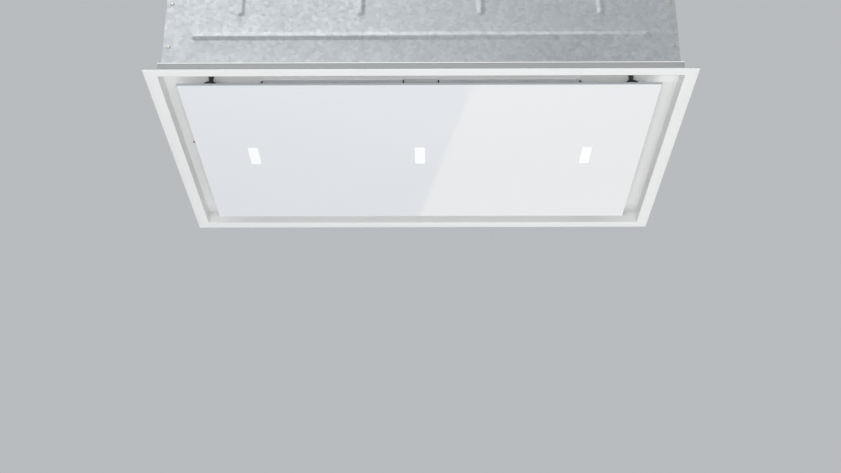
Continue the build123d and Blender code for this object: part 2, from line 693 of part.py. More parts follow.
with BuildPart() as cable_gland:
    with BuildSketch(Plane.XY.offset(house_z1)):
        with Locations(gland_at):
            RegularPolygon(13.0, 6)
    extrude(amount=6.0)
    with BuildSketch(Plane.XY.offset(house_z1 + 6.0)):
        with Locations(gland_at):
            Circle(10.6)
    extrude(amount=2.0)
    with BuildSketch(Plane.XY.offset(house_z1 + 8.0)):
        with Locations(gland_at):
            RegularPolygon(12.0, 6)
    extrude(amount=12.0)
    fillet(cable_gland.faces().sort_by(Axis.Z)[-1].edges(), radius=1.5)
    with BuildSketch(Plane.XY.offset(house_z1 + 20.0)):
        with Locations(gland_at):
            Circle(8.0)
    extrude(amount=2.5)
    # threaded stem through the top and the box, with its lock nut
    with BuildSketch(Plane.XY.offset(house_z1)):
        with Locations(gland_at):
            Circle(10.0)
    extrude(amount=-9.0)
    with BuildSketch(Plane.XY.offset(mouth_top - box_t)):
        with Locations(gland_at):
            RegularPolygon(13.0, 6)
    extrude(amount=-4.0)
    with BuildSketch(Plane.XY.offset(house_z1 + 22.5)):
        with Locations(gland_at):
            Circle(4.5)
    extrude(amount=-40.0, mode=Mode.SUBTRACT)
cable_gland.part.label = "cable_gland"
export_step(cable_gland.part, "parts/cable_gland.step")

# ---------------------------------------------------------------------------
# 8. hanging brackets for four threaded rods
# ---------------------------------------------------------------------------
tab_z = 285.0
rod_x = 408.0
with BuildPart() as hanging_brackets:
    for side in (-1, 1):
        with BuildSketch(Plane.YZ.offset(side * hx)):
            with Locations((-bracket_y, 252.0), (bracket_y, 252.0)):
                Rectangle(40, 70)
        extrude(amount=side * 2.0)
        with BuildSketch(Plane.XY.offset(tab_z)):
            with Locations((side * (hx - 15.0), -bracket_y), (side * (hx - 15.0), bracket_y)):
                Rectangle(34, 40)
        extrude(amount=2.0)
        with BuildSketch(Plane.YZ.offset(side * (hx + 2.0))):
            with Locations(*[(y, z) for y in (-bracket_y, bracket_y) for z in bracket_screw_z]):
                Circle(2.6)
        extrude(amount=-side * 2.0, mode=Mode.SUBTRACT)
    fillet([e for e in hanging_brackets.edges().filter_by(Axis.Z) if abs(e.center().X) < hx - 25], radius=6.0)
    fillet([e for e in hanging_brackets.edges().filter_by(Axis.X) if e.center().Z < 220], radius=6.0)
    fillet([e for e in hanging_brackets.edges().filter_by(Axis.Y)
            if abs(abs(e.center().X) - (hx + 2.0)) < 0.1 and e.center().Z > 286.5], radius=1.8)
    with Locations(*[(sx * rod_x, sy * bracket_y, tab_z + 2.0) for sx in (-1, 1) for sy in (-1, 1)]):
        Hole(4.5, depth=2.0)
hanging_brackets.part.label = "hanging_brackets"
export_step(hanging_brackets.part, "parts/hanging_brackets.step")

bolt_pts = [(y, z) for y in (-bracket_y, bracket_y) for z in bracket_screw_z]
with BuildPart() as bracket_screws:
    for side in (-1, 1):
        with BuildSketch(Plane.YZ.offset(side * (hx + 2.0))):
            with Locations(*bolt_pts):
                Circle(4.6)
        extrude(amount=side * 2.6)
        with BuildSketch(Plane.YZ.offset(side * (hx + 2.0))):
            with Locations(*bolt_pts):
                Circle(2.5)
        extrude(amount=-side * 11.0)
        with BuildSketch(Plane.YZ.offset(side * (hx - sheet))):
            with Locations(*bolt_pts):
                RegularPolygon(4.6, 6)
        extrude(amount=-side * 4.0)
        with BuildSketch(Plane.YZ.offset(side * (hx + 4.6))):
            with Locations(*bolt_pts):
                RegularPolygon(1.9, 6)
        extrude(amount=-side * 1.5, mode=Mode.SUBTRACT)
    fillet([e for e in bracket_screws.edges().filter_by(GeomType.CIRCLE)
            if e.radius > 4.5 and abs(e.center().X) > hx + 4.5], radius=0.9)
bracket_screws.part.label = "bracket_screws"
export_step(bracket_screws.part, "parts/bracket_screws.step")

# ---------------------------------------------------------------------------
# 9. grease filter: channel frame, mesh pack, spring latch
# ---------------------------------------------------------------------------
fy_mid = (filt_y0 + filt_y1) / 2
fd = filt_y1 - filt_y0
lip = 14.0
with BuildPart() as filter_frame:
    # channel: lower lip, wall, upper lip
    for z0, h, width in ((filt_z0, filt_t, lip), (filt_z0, filt_z1 - filt_z0, filt_t),
                         (filt_z1 - filt_t, filt_t, lip - 1.5)):
        with BuildSketch(Plane.XY.offset(z0)):
            with Locations((0, fy_mid)):
                Rectangle(filt_w, fd)
                Rectangle(filt_w - 2 * width, fd - 2 * width, mode=Mode.SUBTRACT)
        extrude(amount=h)
    outer_corners = filter_frame.edges().filter_by(Axis.Z).sort_by(lambda e: -(abs(e.center().X) + abs(e.center().Y - fy_mid)))[:4]
    fillet(outer_corners, radius=1.2)
    # slot in the near rail for the latch, with a closed pocket behind it
    with BuildSketch(Plane.XY.offset(filt_z0)):
        with Locations((0, filt_y0 + 18.0)):
            Rectangle(latch_slot_w + 6.0, 36.0)
    extrude(amount=filt_z1 - filt_t - filt_z0)
    with BuildSketch(Plane.XY.offset(filt_z0 + filt_t)):
        with Locations((0, filt_y0 + 16.0)):
            Rectangle(latch_slot_w, 38.0)
    extrude(amount=filt_z1 - filt_t - filt_z0 - filt_t, mode=Mode.SUBTRACT)
    with BuildSketch(Plane.XY.offset(filt_z0)):
        with Locations((0, filt_y0)):
            Rectangle(latch_slot_w, 2 * filt_t + 1.0)
    extrude(amount=filt_z1 - filt_z0, mode=Mode.SUBTRACT)
    with BuildSketch(Plane.XY.offset(filt_z1 - filt_t)):
        with Locations((0, filt_y0 + 10.0)):
            Rectangle(46.0, 20.1)
    extrude(amount=filt_t, mode=Mode.SUBTRACT)
    # relief notches at the ends of the near rail
    with BuildSketch(Plane.XY.offset(filt_z0 + 1.6)):
        with Locations((-264.7, filt_y0), (264.7, filt_y0)):
            Rectangle(2.6, 4.0)
    extrude(amount=filt_z1 - filt_z0 - 1.6, mode=Mode.SUBTRACT)
    # two hooks at the far side, over the edge of the recess plate
    with BuildSketch(Plane.YZ.offset(-165)):
        with BuildLine():
            Polyline((184.0, filt_z1 - 0.01), (185.5, filt_z1 - 0.01), (185.5, 26.2), (192.5, 26.2), (192.5, 27.7),
                     (184.0, 27.7), close=True)
        make_face()
    extrude(amount=30)
    with BuildSketch(Plane.YZ.offset(135)):
        with BuildLine():
            Polyline((184.0, filt_z1 - 0.01), (185.5, filt_z1 - 0.01), (185.5, 26.2), (192.5, 26.2), (192.5, 27.7),
                     (184.0, 27.7), close=True)
        make_face()
    extrude(amount=30)
    # foot of each hook on the upper lip
    with BuildSketch(Plane.XY.offset(filt_z1 - filt_t)):
        with Locations((-150.0, 187.5), (150.0, 187.5)):
            Rectangle(30.0, 7.0)
    extrude(amount=filt_t)
filter_frame.part.label = "filter_frame"
export_step(filter_frame.part, "parts/filter_frame.step")

# the pack is three spaced layers of fine mesh, each a thin closed sheet here
mesh_w = filt_w - 2 * filt_t - 1.0
mesh_d = fd - 2 * filt_t - 1.0
mesh_t = 0.5
with BuildPart() as filter_mesh:
    for z in (filt_z0 + filt_t, (filt_z0 + filt_z1 - mesh_t) / 2, filt_z1 - filt_t - mesh_t):
        with BuildSketch(Plane.XY.offset(z)):
            with Locations((0, fy_mid)):
                Rectangle(mesh_w, mesh_d)
            with Locations((0, filt_y0 + 14.0)):
                Rectangle(latch_slot_w + 8.0, 46.0, mode=Mode.SUBTRACT)
        extrude(amount=mesh_t)
filter_mesh.part.label = "filter_mesh"
export_step(filter_mesh.part, "parts/filter_mesh.step")

# latch: finger face, slide plate and hooked tongue; pushed inward to release
latch_y0 = filt_y0 - 3.1
with BuildPart() as latch_handle:
    with BuildSketch(Plane.YZ.offset(-latch_w / 2)):
        with BuildLine():
            Polyline((latch_y0, 16.25), (latch_y0 + 1.4, 16.25), (latch_y0 + 1.4, 17.0), (-204.5, 17.0), (-204.5, 18.4),
                     (latch_y0 + 1.4, 18.4), (latch_y0 + 1.4, 21.35), (latch_y0 + 4.0, 21.35), (latch_y0 + 4.0, 22.75),
                     (latch_y0, 22.75), close=True)
        make_face()
    extrude(amount=latch_w)
    fillet([e for e in latch_handle.edges().filter_by(Axis.X) if abs(e.center().Y - latch_y0) < 0.01], radius=0.6)
    # tongue: up through the opening and over the plate's edge
    with BuildSketch(Plane.YZ.offset(-15)):
        with BuildLine():
            Polyline((-211.5, 18.0), (-210.0, 18.0), (-210.0, 27.6), (-219.0, 27.6), (-219.0, 26.1), (-211.5, 26.1),
                     close=True)
        make_face()
    extrude(amount=30)
latch_handle.part.label = "latch_handle"
export_step(latch_handle.part, "parts/latch_handle.step")

# leaf spring behind the slide plate, drawn at the flat shape it has when the latch is pushed in
with BuildPart() as latch_spring:
    with BuildSketch(Plane.XY.offset(18.8)):
        with BuildLine():
            ThreePointArc((-25.0, -200.4), (0.0, -204.4), (25.0, -200.4))
            Line((25.0, -200.4), (25.0, -200.9))
            ThreePointArc((25.0, -200.9), (0.0, -204.9), (-25.0, -200.9))
            Line((-25.0, -200.9), (-25.0, -200.4))
        make_face()
    extrude(amount=3.6)
    with BuildSketch(Plane.XY.offset(18.4)):
        with Locations((0, -206.4)):
            Rectangle(8.0, 4.0)
    extrude(amount=0.8)
latch_spring.part.label = "latch_spring"
export_step(latch_spring.part, "parts/latch_spring.step")

# ---------------------------------------------------------------------------
# 10. panel: glass, carrier tray, lights
# ---------------------------------------------------------------------------
lights = [(glass_x + s * led_x, led_y) for s in (-1, 0, 1)]
with BuildPart() as glass_panel:
    with BuildSketch(Plane.XY.offset(glass_z)):
        with Locations((glass_x, 0)):
            RectangleRounded(glass_w, glass_d, 2.0)
        with Locations(*lights):
            RectangleRounded(led_w + 0.6, led_d + 0.6, 1.0, mode=Mode.SUBTRACT)
    extrude(amount=glass_t)
    chamfer(glass_panel.faces().sort_by(Axis.Z)[0].outer_wire().edges(), length=0.5)
    chamfer(glass_panel.faces().sort_by(Axis.Z)[-1].outer_wire().edges(), length=0.4)
glass_panel.part.label = "glass_panel"
export_step(glass_panel.part, "parts/glass_panel.step")

tray_w, tray_d, tray_h = 700.0, 430.0, 6.2
with BuildPart() as panel_carrier:
    with BuildSketch(Plane.XY.offset(glass_z1)):
        with Locations((glass_x, 0)):
            RectangleRounded(tray_w, tray_d, 6.0)
        # tongues that carry the hinge leaves
        with Locations((-hinge_x, 226.0), (hinge_x, 226.0)):
            Rectangle(46.0, 28.0)
    extrude(amount=sheet)
    with BuildSketch(Plane.XY.offset(glass_z1)):
        with Locations((glass_x, 0)):
            RectangleRounded(tray_w, tray_d, 6.0)
            RectangleRounded(tray_w - 2, tray_d - 2, 5.0, mode=Mode.SUBTRACT)
    extrude(amount=tray_h)
    # gaps in the far rim for the leaves, and windows for the lights
    with BuildSketch(Plane.XY.offset(glass_z1 + sheet)):
        with Locations((-hinge_x, 215.0), (hinge_x, 215.0)):
            Rectangle(42.0, 6.0)
    extrude(amount=tray_h, mode=Mode.SUBTRACT)
    with BuildSketch(Plane.XY.offset(glass_z1)):
        with Locations(*lights):
            Rectangle(26.0, 70.0)
    extrude(amount=sheet, mode=Mode.SUBTRACT)
    # weight-saving holes between the lights
    with BuildSketch(Plane.XY.offset(glass_z1)):
        with Locations(*[(glass_x + sx * 150.0, sy * 105.0) for sx in (-1, 1) for sy in (-1, 1)]):
            RectangleRounded(170.0, 120.0, 12.0)
    extrude(amount=sheet, mode=Mode.SUBTRACT)
panel_carrier.part.label = "panel_carrier"
export_step(panel_carrier.part, "parts/panel_carrier.step")

for at, label in zip(lights, ("led_lens_left", "led_lens_centre", "led_lens_right")):
    with BuildPart() as led_lens:
        with BuildSketch(Plane.XY.offset(glass_z)):
            with Locations(at):
                RectangleRounded(led_w, led_d, 0.8)
        extrude(amount=glass_t)
        fillet(led_lens.faces().sort_by(Axis.Z)[0].edges(), radius=0.3)
        with BuildSketch(Plane.XY.offset(glass_z1)):
            with Locations(at):
                RectangleRounded(25.0, 69.0, 1.5)
        extrude(amount=1.4)
    led_lens.part.label = label
    export_step(led_lens.part, f"parts/{label}.step")

with BuildPart() as led_housings:
    with BuildSketch(Plane.XY.offset(glass_z1 + sheet)):
        with Locations(*lights):
            RectangleRounded(36.0, 80.0, 3.0)
    extrude(amount=7.0)
    fillet(led_housings.faces().filter_by(Axis.Z).group_by(Axis.Z)[-1].edges(), radius=1.2)
    with BuildSketch(Plane.XY.offset(glass_z1 + sheet)):
        with Locations(*lights):
            RectangleRounded(27.0, 71.0, 1.8)
    extrude(amount=5.6, mode=Mode.SUBTRACT)
led_housings.part.label = "led_housings"
export_step(led_housings.part, "parts/led_housings.step")

with BuildPart() as led_boards:
    with BuildSketch(Plane.XY.offset(glass_z1 + sheet + 4.4)):
        with Locations(*lights):
            Rectangle(24.0, 66.0)
    extrude(amount=1.2)
    chip_at = [(x, y + d) for x, y in lights for d in (-25, -15, -5, 5, 15, 25)]
    with BuildSketch(Plane.XY.offset(glass_z1 + sheet + 4.4)):
        with Locations(*chip_at):
            Rectangle(3.5, 2.8)
    extrude(amount=-0.8)
led_boards.part.label = "led_boards"
export_step(led_boards.part, "parts/led_boards.step")

# ---------------------------------------------------------------------------
# 11. hinges of the panel
# ---------------------------------------------------------------------------


def ear(y_root0, y_root1, z_root, r):
    """Straight part of a hinge ear, from its root down to the hinge axis."""
    Polyline((y_root0, z_root), (y_root1, z_root), (hinge_y + r, hinge_z), (hinge_y - r, hinge_z), close=True)


for side, tag in ((-1, "left"), (1, "right")):
    cx = side * hinge_x
    with BuildPart() as hinge_bracket:
        with BuildSketch(Plane.XY.offset(recess_h - 2.0)):
            with Locations((cx, 250.0)):
                RectangleRounded(58.0, 22.0, 2.0)
            with Locations((cx - 22, hinge_rivet_y), (cx + 22, hinge_rivet_y)):
                Circle(1.6, mode=Mode.SUBTRACT)
        extrude(amount=2.0)
        for x in (-14.0, 12.0):
            with BuildSketch(Plane.YZ.offset(cx + x)):
                with BuildLine():
                    ear(hinge_y - 6.0, hinge_y + 6.0, recess_h - 2.0, 5.0)
                make_face()
                with Locations((hinge_y, hinge_z)):
                    Circle(5.0)
            extrude(amount=2.0)
        with BuildSketch(Plane.YZ.offset(cx - 20)):
            with Locations((hinge_y, hinge_z)):
                Circle(pin_r)
        extrude(amount=40, mode=Mode.SUBTRACT)
        # rivets into the recess plate
        with BuildSketch(Plane.XY.offset(recess_h - 2.0)):
            with Locations((cx - 22, hinge_rivet_y), (cx + 22, hinge_rivet_y)):
                Circle(1.6)
        extrude(amount=2.0 + plate_t + 0.8)
        with BuildSketch(Plane.XY.offset(house_z0)):
            with Locations((cx - 22, hinge_rivet_y), (cx + 22, hinge_rivet_y)):
                Circle(2.6)
        extrude(amount=0.8)
    hinge_bracket.part.label = f"hinge_bracket_{tag}"
    export_step(hinge_bracket.part, f"parts/hinge_bracket_{tag}.step")

    with BuildPart() as hinge_leaf:
        with BuildSketch(Plane.XY.offset(glass_z1 + sheet)):
            with Locations((cx, 226.0)):
                RectangleRounded(36.0, 27.0, 2.0)
        extrude(amount=1.5)
        for x in (-10.0, 8.0):
            with BuildSketch(Plane.YZ.offset(cx + x)):
                with BuildLine():
                    Polyline((222.0, glass_z1 + sheet), (239.0, glass_z1 + sheet), (hinge_y, hinge_z - 5.0),
                             (hinge_y, hinge_z + 5.0), (238.0, hinge_z + 2.0), (222.0, glass_z1 + sheet + 1.5),
                             close=True)
                make_face()
                with Locations((hinge_y, hinge_z)):
                    Circle(5.0)
            extrude(amount=2.0)
        with BuildSketch(Plane.YZ.offset(cx - 20)):
            with Locations((hinge_y, hinge_z)):
                Circle(pin_r + running)
        extrude(amount=40, mode=Mode.SUBTRACT)
    hinge_leaf.part.label = f"hinge_leaf_{tag}"
    export_step(hinge_leaf.part, f"parts/hinge_leaf_{tag}.step")

    with BuildPart() as hinge_pin:
        with BuildSketch(Plane.YZ.offset(cx - 16)):
            with Locations((hinge_y, hinge_z)):
                Circle(pin_r)
        extrude(amount=32)
        with BuildSketch(Plane.YZ.offset(cx + 14)):
            with Locations((hinge_y, hinge_z)):
                Circle(3.8)
        extrude(amount=1.6)
        chamfer(hinge_pin.edges().filter_by(GeomType.CIRCLE).sort_by(Axis.X)[0], length=0.5)
    hinge_pin.part.label = f"hinge_pin_{tag}"
    export_step(hinge_pin.part, f"parts/hinge_pin_{tag}.step")

# ---------------------------------------------------------------------------
# 12. catches: stud on the glass, spring clip above the recess plate
# ---------------------------------------------------------------------------
for side, tag in ((-1, "left"), (1, "right")):
    cx = side * catch_x
    with BuildPart() as catch_stud:
        # square foot bonded to the glass, its near face close to the glass's edge, with sloped shoulders
        with BuildSketch(Plane.XY.offset(glass_z1)):
            with Locations((cx, catch_y - 0.2)):
                RectangleRounded(foot_w, foot_w, 2.5)
        extrude(amount=foot_h)
        with BuildSketch(Plane.XY.offset(glass_z1 + foot_h)):
            with Locations((cx, catch_y - 0.2)):
                RectangleRounded(foot_w, foot_w, 2.5)
        with BuildSketch(Plane.XY.offset(glass_z1 + foot_h + 4.4)):
            with Locations((cx, catch_y)):
                RectangleRounded(12.6, 12.6, 2.0)
        loft()
        # stem with a pointed top that spreads the clip
        with BuildSketch(Plane.XZ.offset(-catch_y)):
            with BuildLine():
                Polyline((cx, glass_z1 + 1.0), (cx + stud_r, glass_z1 + 1.0), (cx + stud_r, 34.0), (cx + 2.0, 38.0),
                         (cx, 38.0), close=True)
            make_face()
        revolve(axis=Axis((cx, catch_y, 0), (0, 0, 1)))
    catch_stud.part.label = f"catch_stud_{tag}"
    export_step(catch_stud.part, f"parts/catch_stud_{tag}.step")

    with BuildPart() as catch_clip:
        with BuildSketch(Plane.XY.offset(house_z0)):
            with Locations((cx, catch_y)):
                RectangleRounded(46.0, 22.0, 3.0)
                Circle(6.0, mode=Mode.SUBTRACT)
            with Locations((cx - 17, catch_y), (cx + 17, catch_y)):
                Circle(1.6, mode=Mode.SUBTRACT)
        extrude(amount=1.0)
        # two sprung arms that stand beside the stud
        for s in (-1, 1):
            with BuildSketch(Plane.XZ.offset(-(catch_y - 6.0))):
                with BuildLine():
                    Polyline((cx + s * 8.0, house_z0), (cx + s * 9.0, house_z0), (cx + s * 9.0, 30.0),
                             (cx + s * 5.9, 34.0), (cx + s * 9.6, 40.0), (cx + s * 8.7, 40.6), (cx + s * 4.7, 34.0),
                             (cx + s * 8.0, 29.6), close=True)
                make_face()
            extrude(amount=-12.0)
        # plug welds onto the recess plate
        with BuildSketch(Plane.XY.offset(house_z0)):
            with Locations((cx - 17, catch_y), (cx + 17, catch_y)):
                Circle(1.6)
        extrude(amount=1.3)
    catch_clip.part.label = f"catch_clip_{tag}"
    export_step(catch_clip.part, f"parts/catch_clip_{tag}.step")

# ---------------------------------------------------------------------------
# 13. red indicator in the recess and its small board
# ---------------------------------------------------------------------------
with BuildPart() as indicator_lens:
    with BuildSketch(Plane.XY.offset(recess_h - 2.4)):
        with Locations(indicator_at):
            Circle(1.6)
    extrude(amount=7.8)
    fillet(indicator_lens.faces().sort_by(Axis.Z)[0].edges(), radius=1.4)
    with BuildSketch(Plane.XY.offset(house_z0)):
        with Locations(indicator_at):
            Circle(2.6)
    extrude(amount=1.5)
indicator_lens.part.label = "indicator_lens"
export_step(indicator_lens.part, "parts/indicator_lens.step")

with BuildPart() as indicator_board:
    with BuildSketch(Plane.XY.offset(recess_h + 5.4)):
        with Locations((indicator_at[0] + 4, indicator_at[1])):
            Rectangle(20.0, 30.0)
    extrude(amount=1.6)
    with BuildSketch(Plane.XY.offset(recess_h + 7.0)):
        with Locations((indicator_at[0] + 6, indicator_at[1] + 4)):
            Rectangle(8.0, 12.0)
    extrude(amount=6.0)
    with BuildSketch(Plane.XY.offset(house_z0 + sheet)):
        with Locations((indicator_at[0] + 4, indicator_at[1] - 11), (indicator_at[0] + 4, indicator_at[1] + 11)):
            Circle(2.2)
    extrude(amount=recess_h + 5.4 - house_z0 - sheet)
indicator_board.part.label = "indicator_board"
export_step(indicator_board.part, "parts/indicator_board.step")
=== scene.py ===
from math import cos, sin, pi, radians, sqrt, atan2

import bpy
import bmesh
from mathutils import Matrix, Vector


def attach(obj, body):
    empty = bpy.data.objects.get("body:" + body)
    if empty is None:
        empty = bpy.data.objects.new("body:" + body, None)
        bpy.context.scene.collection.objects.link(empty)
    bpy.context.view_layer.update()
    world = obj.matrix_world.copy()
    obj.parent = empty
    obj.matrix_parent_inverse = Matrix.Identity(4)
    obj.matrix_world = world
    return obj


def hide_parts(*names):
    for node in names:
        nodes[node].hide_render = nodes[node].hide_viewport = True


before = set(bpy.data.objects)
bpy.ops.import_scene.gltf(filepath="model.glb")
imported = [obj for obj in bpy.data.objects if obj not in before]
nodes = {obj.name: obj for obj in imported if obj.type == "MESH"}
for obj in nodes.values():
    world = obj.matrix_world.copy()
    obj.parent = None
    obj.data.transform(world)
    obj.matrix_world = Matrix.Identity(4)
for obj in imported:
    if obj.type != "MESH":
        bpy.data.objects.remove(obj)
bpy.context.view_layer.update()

scene = bpy.context.scene

# ---------------------------------------------------------------------------
# camera: the photograph's viewing angle, 841 x 473
# ---------------------------------------------------------------------------
yaw, pitch, roll = -0.0062, 0.43115, 0.00021
forward = Vector((sin(yaw) * cos(pitch), cos(yaw) * cos(pitch), sin(pitch)))
side = Vector((cos(yaw), -sin(yaw), 0.0))
up = side.cross(forward)
right = cos(roll) * side + sin(roll) * up
upward = -sin(roll) * side + cos(roll) * up
cam_data = bpy.data.cameras.new("camera")
cam_data.sensor_fit = "HORIZONTAL"
cam_data.sensor_width = 36.0
cam_data.lens = 1331.456 / 841 * 36.0
cam_data.clip_start = 0.05
cam_data.clip_end = 100.0
cam = bpy.data.objects.new("camera", cam_data)
rot = Matrix((right, upward, -forward)).transposed()
cam.matrix_world = Matrix.Translation((0.01117, -2.13481, -1.14062)) @ rot.to_4x4()
scene.collection.objects.link(cam)
scene.camera = cam


# ---------------------------------------------------------------------------
# materials
# ---------------------------------------------------------------------------
class Mat:
    """A Principled material whose patterns run in the piece's own coordinates."""

    def __init__(self, name, rough=0.5, metallic=0.0, ior=1.5, coat=0.0, coat_rough=0.05, specular=0.5):
        self.m = bpy.data.materials.new(name)
        self.m.use_nodes = True
        self.t = self.m.node_tree
        self.t.nodes.clear()
        out = self.t.nodes.new("ShaderNodeOutputMaterial")
        self.b = self.t.nodes.new("ShaderNodeBsdfPrincipled")
        self.t.links.new(self.b.outputs[0], out.inputs[0])
        self.co = self.t.nodes.new("ShaderNodeTexCoord").outputs["Object"]
        self.b.inputs["Roughness"].default_value = rough
        self.b.inputs["Metallic"].default_value = metallic
        self.b.inputs["IOR"].default_value = ior
        self.b.inputs["Specular IOR Level"].default_value = specular
        self.b.inputs["Coat Weight"].default_value = coat
        self.b.inputs["Coat Roughness"].default_value = coat_rough
        self.last_bump = None

    def node(self, kind, **values):
        n = self.t.nodes.new(kind)
        for k, v in values.items():
            if k in n.inputs:
                n.inputs[k].default_value = v
            else:
                setattr(n, k, v)
        return n

    def link(self, a, b):
        self.t.links.new(a, b)

    def stretched(self, scale=(1, 1, 1), rotation=(0, 0, 0)):
        n = self.node("ShaderNodeMapping")
        n.inputs["Scale"].default_value = scale
        n.inputs["Rotation"].default_value = rotation
        self.link(self.co, n.inputs["Vector"])
        return n.outputs[0]

    def noise(self, scale, detail=3.0, rough=0.55, vector=None, distortion=0.0):
        n = self.node("ShaderNodeTexNoise", Scale=scale, Detail=detail, Roughness=rough, Distortion=distortion)
        self.link(vector or self.co, n.inputs["Vector"])
        return n.outputs["Fac"]

    def voronoi(self, scale, vector=None, out="Color", feature="F1", randomness=1.0):
        n = self.node("ShaderNodeTexVoronoi", feature=feature)
        n.inputs["Scale"].default_value = scale
        n.inputs["Randomness"].default_value = randomness
        self.link(vector or self.co, n.inputs["Vector"])
        return n.outputs[out]

    def ranged(self, value, lo, hi, a=0.3, b=0.7):
        n = self.node("ShaderNodeMapRange")
        n.inputs["From Min"].default_value = a
        n.inputs["From Max"].default_value = b
        n.inputs["To Min"].default_value = lo
        n.inputs["To Max"].default_value = hi
        self.link(value, n.inputs["Value"])
        return n.outputs[0]

    def math(self, op, a, b=0.0):
        n = self.node("ShaderNodeMath", operation=op)
        for i, v in enumerate((a, b)):
            if isinstance(v, (int, float)):
                n.inputs[i].default_value = v
            else:
                self.link(v, n.inputs[i])
        return n.outputs[0]

    def mix(self, fac, a, b):
        n = self.node("ShaderNodeMix", data_type="RGBA")
        if isinstance(fac, (int, float)):
            n.inputs["Factor"].default_value = fac
        else:
            self.link(fac, n.inputs["Factor"])
        for slot, v in ((n.inputs[6], a), (n.inputs[7], b)):
            if isinstance(v, (tuple, list)):
                slot.default_value = (*v[:3], 1.0)
            else:
                self.link(v, slot)
        return n.outputs[2]

    def colour(self, value):
        if isinstance(value, (tuple, list)):
            self.b.inputs["Base Color"].default_value = (*value[:3], 1.0)
        else:
            self.link(value, self.b.inputs["Base Color"])
        return self

    def rough(self, value):
        self.link(value, self.b.inputs["Roughness"])
        return self

    def bump(self, height, strength, distance):
        n = self.node("ShaderNodeBump", Strength=strength, Distance=distance)
        self.link(height, n.inputs["Height"])
        if self.last_bump:
            self.link(self.last_bump, n.inputs["Normal"])
        self.last_bump = n.outputs[0]
        self.link(self.last_bump, self.b.inputs["Normal"])
        return self


def shade(c, k):
    return tuple(min(1.0, v * k) for v in c[:3])


def powder_coat(name, base, rough=0.38, grain=0.10):
    """Powder coat: fine orange peel, faint unevenness of gloss and colour."""
    m = Mat(name, rough=rough, specular=0.5)
    cloud = m.noise(7.0, 3.0)
    m.colour(m.mix(m.ranged(cloud, 0.0, 1.0), shade(base, 0.982), shade(base, 1.012)))
    m.rough(m.ranged(m.noise(45.0, 3.0), rough - 0.04, rough + 0.06))
    m.bump(m.noise(520.0, 2.0), grain, 0.0006)
    m.bump(m.noise(60.0, 1.0), grain * 0.35, 0.002)
    return m.m


def galvanised(name, base=(0.56, 0.58, 0.60), cell=150.0, rough=0.36, contrast=0.5):
    """Zinc spangle: small crystal facets of slightly different tone and gloss, under fine rolling marks."""
    m = Mat(name, rough=rough, metallic=0.9)
    warp = m.node("ShaderNodeVectorMath", operation="ADD")
    n = m.node("ShaderNodeTexNoise", Scale=210.0, Detail=3.0)
    m.link(m.co, n.inputs["Vector"])
    small = m.node("ShaderNodeVectorMath", operation="SCALE")
    small.inputs["Scale"].default_value = 0.006
    m.link(n.outputs["Color"], small.inputs[0])
    m.link(m.co, warp.inputs[0])
    m.link(small.outputs[0], warp.inputs[1])
    cells = m.voronoi(cell, warp.outputs[0], "Color")
    sep = m.node("ShaderNodeSeparateColor")
    m.link(cells, sep.inputs[0])
    feather = m.noise(620.0, 4.0, 0.65, m.stretched((1.0, 3.2, 1.0), (0.3, 0.2, 0.8)))
    cloud = m.noise(3.5, 4.0, 0.6)
    tone = m.math("ADD", m.math("MULTIPLY", sep.outputs[0], contrast),
                  m.math("ADD", m.math("MULTIPLY", feather, 0.3), m.math("MULTIPLY", cloud, 0.5)))
    m.colour(m.mix(m.ranged(tone, 0.0, 1.0, 0.25, 1.05), shade(base, 0.86), shade(base, 1.12)))
    m.rough(m.math("ADD", m.ranged(sep.outputs[1], rough - 0.05, rough + 0.07, 0.0, 1.0), m.ranged(cloud, -0.05, 0.08)))
    m.bump(sep.outputs[2], 0.03, 0.0003)
    m.bump(m.noise(300.0, 3.0, 0.6, m.stretched((0.15, 4.0, 4.0))), 0.04, 0.0004)
    m.bump(m.noise(9.0, 2.0), 0.12, 0.004)
    return m.m


def brushed(name, base, rough=0.3, along="x", scale=260.0, amount=0.10, metallic=1.0):
    """Rolled or brushed metal: long fine marks along one direction."""
    m = Mat(name, rough=rough, metallic=metallic)
    s = {"x": (0.03, 1.0, 1.0), "y": (1.0, 0.03, 1.0), "z": (1.0, 1.0, 0.03)}[along]
    lines = m.noise(scale * 4, 4.0, 0.6, m.stretched(s))
    cloud = m.noise(18.0, 3.0)
    m.colour(m.mix(m.ranged(m.math("ADD", m.math("MULTIPLY", lines, 0.6), m.math("MULTIPLY", cloud, 0.4)), 0.0, 1.0),
                   shade(base, 0.9), shade(base, 1.08)))
    m.rough(m.math("ADD", m.ranged(lines, rough - 0.07, rough + 0.08), m.ranged(cloud, -0.03, 0.05)))
    m.bump(lines, amount, 0.0003)
    return m.m


def moulded(name, base, rough=0.45, grain=0.12, coat=0.0):
    """Moulded plastic: fine spark-eroded grain and faint flow marks."""
    m = Mat(name, rough=rough, specular=0.45, coat=coat)
    m.colour(m.mix(m.ranged(m.noise(30.0, 3.0), 0.0, 1.0), shade(base, 0.90), shade(base, 1.10)))
    m.rough(m.ranged(m.noise(160.0, 3.0), rough - 0.06, rough + 0.08))
    m.bump(m.noise(1500.0, 2.0), grain, 0.0003)
    m.bump(m.noise(40.0, 2.0, 0.5, m.stretched((0.4, 2.0, 1.0))), grain * 0.3, 0.001)
    return m.m


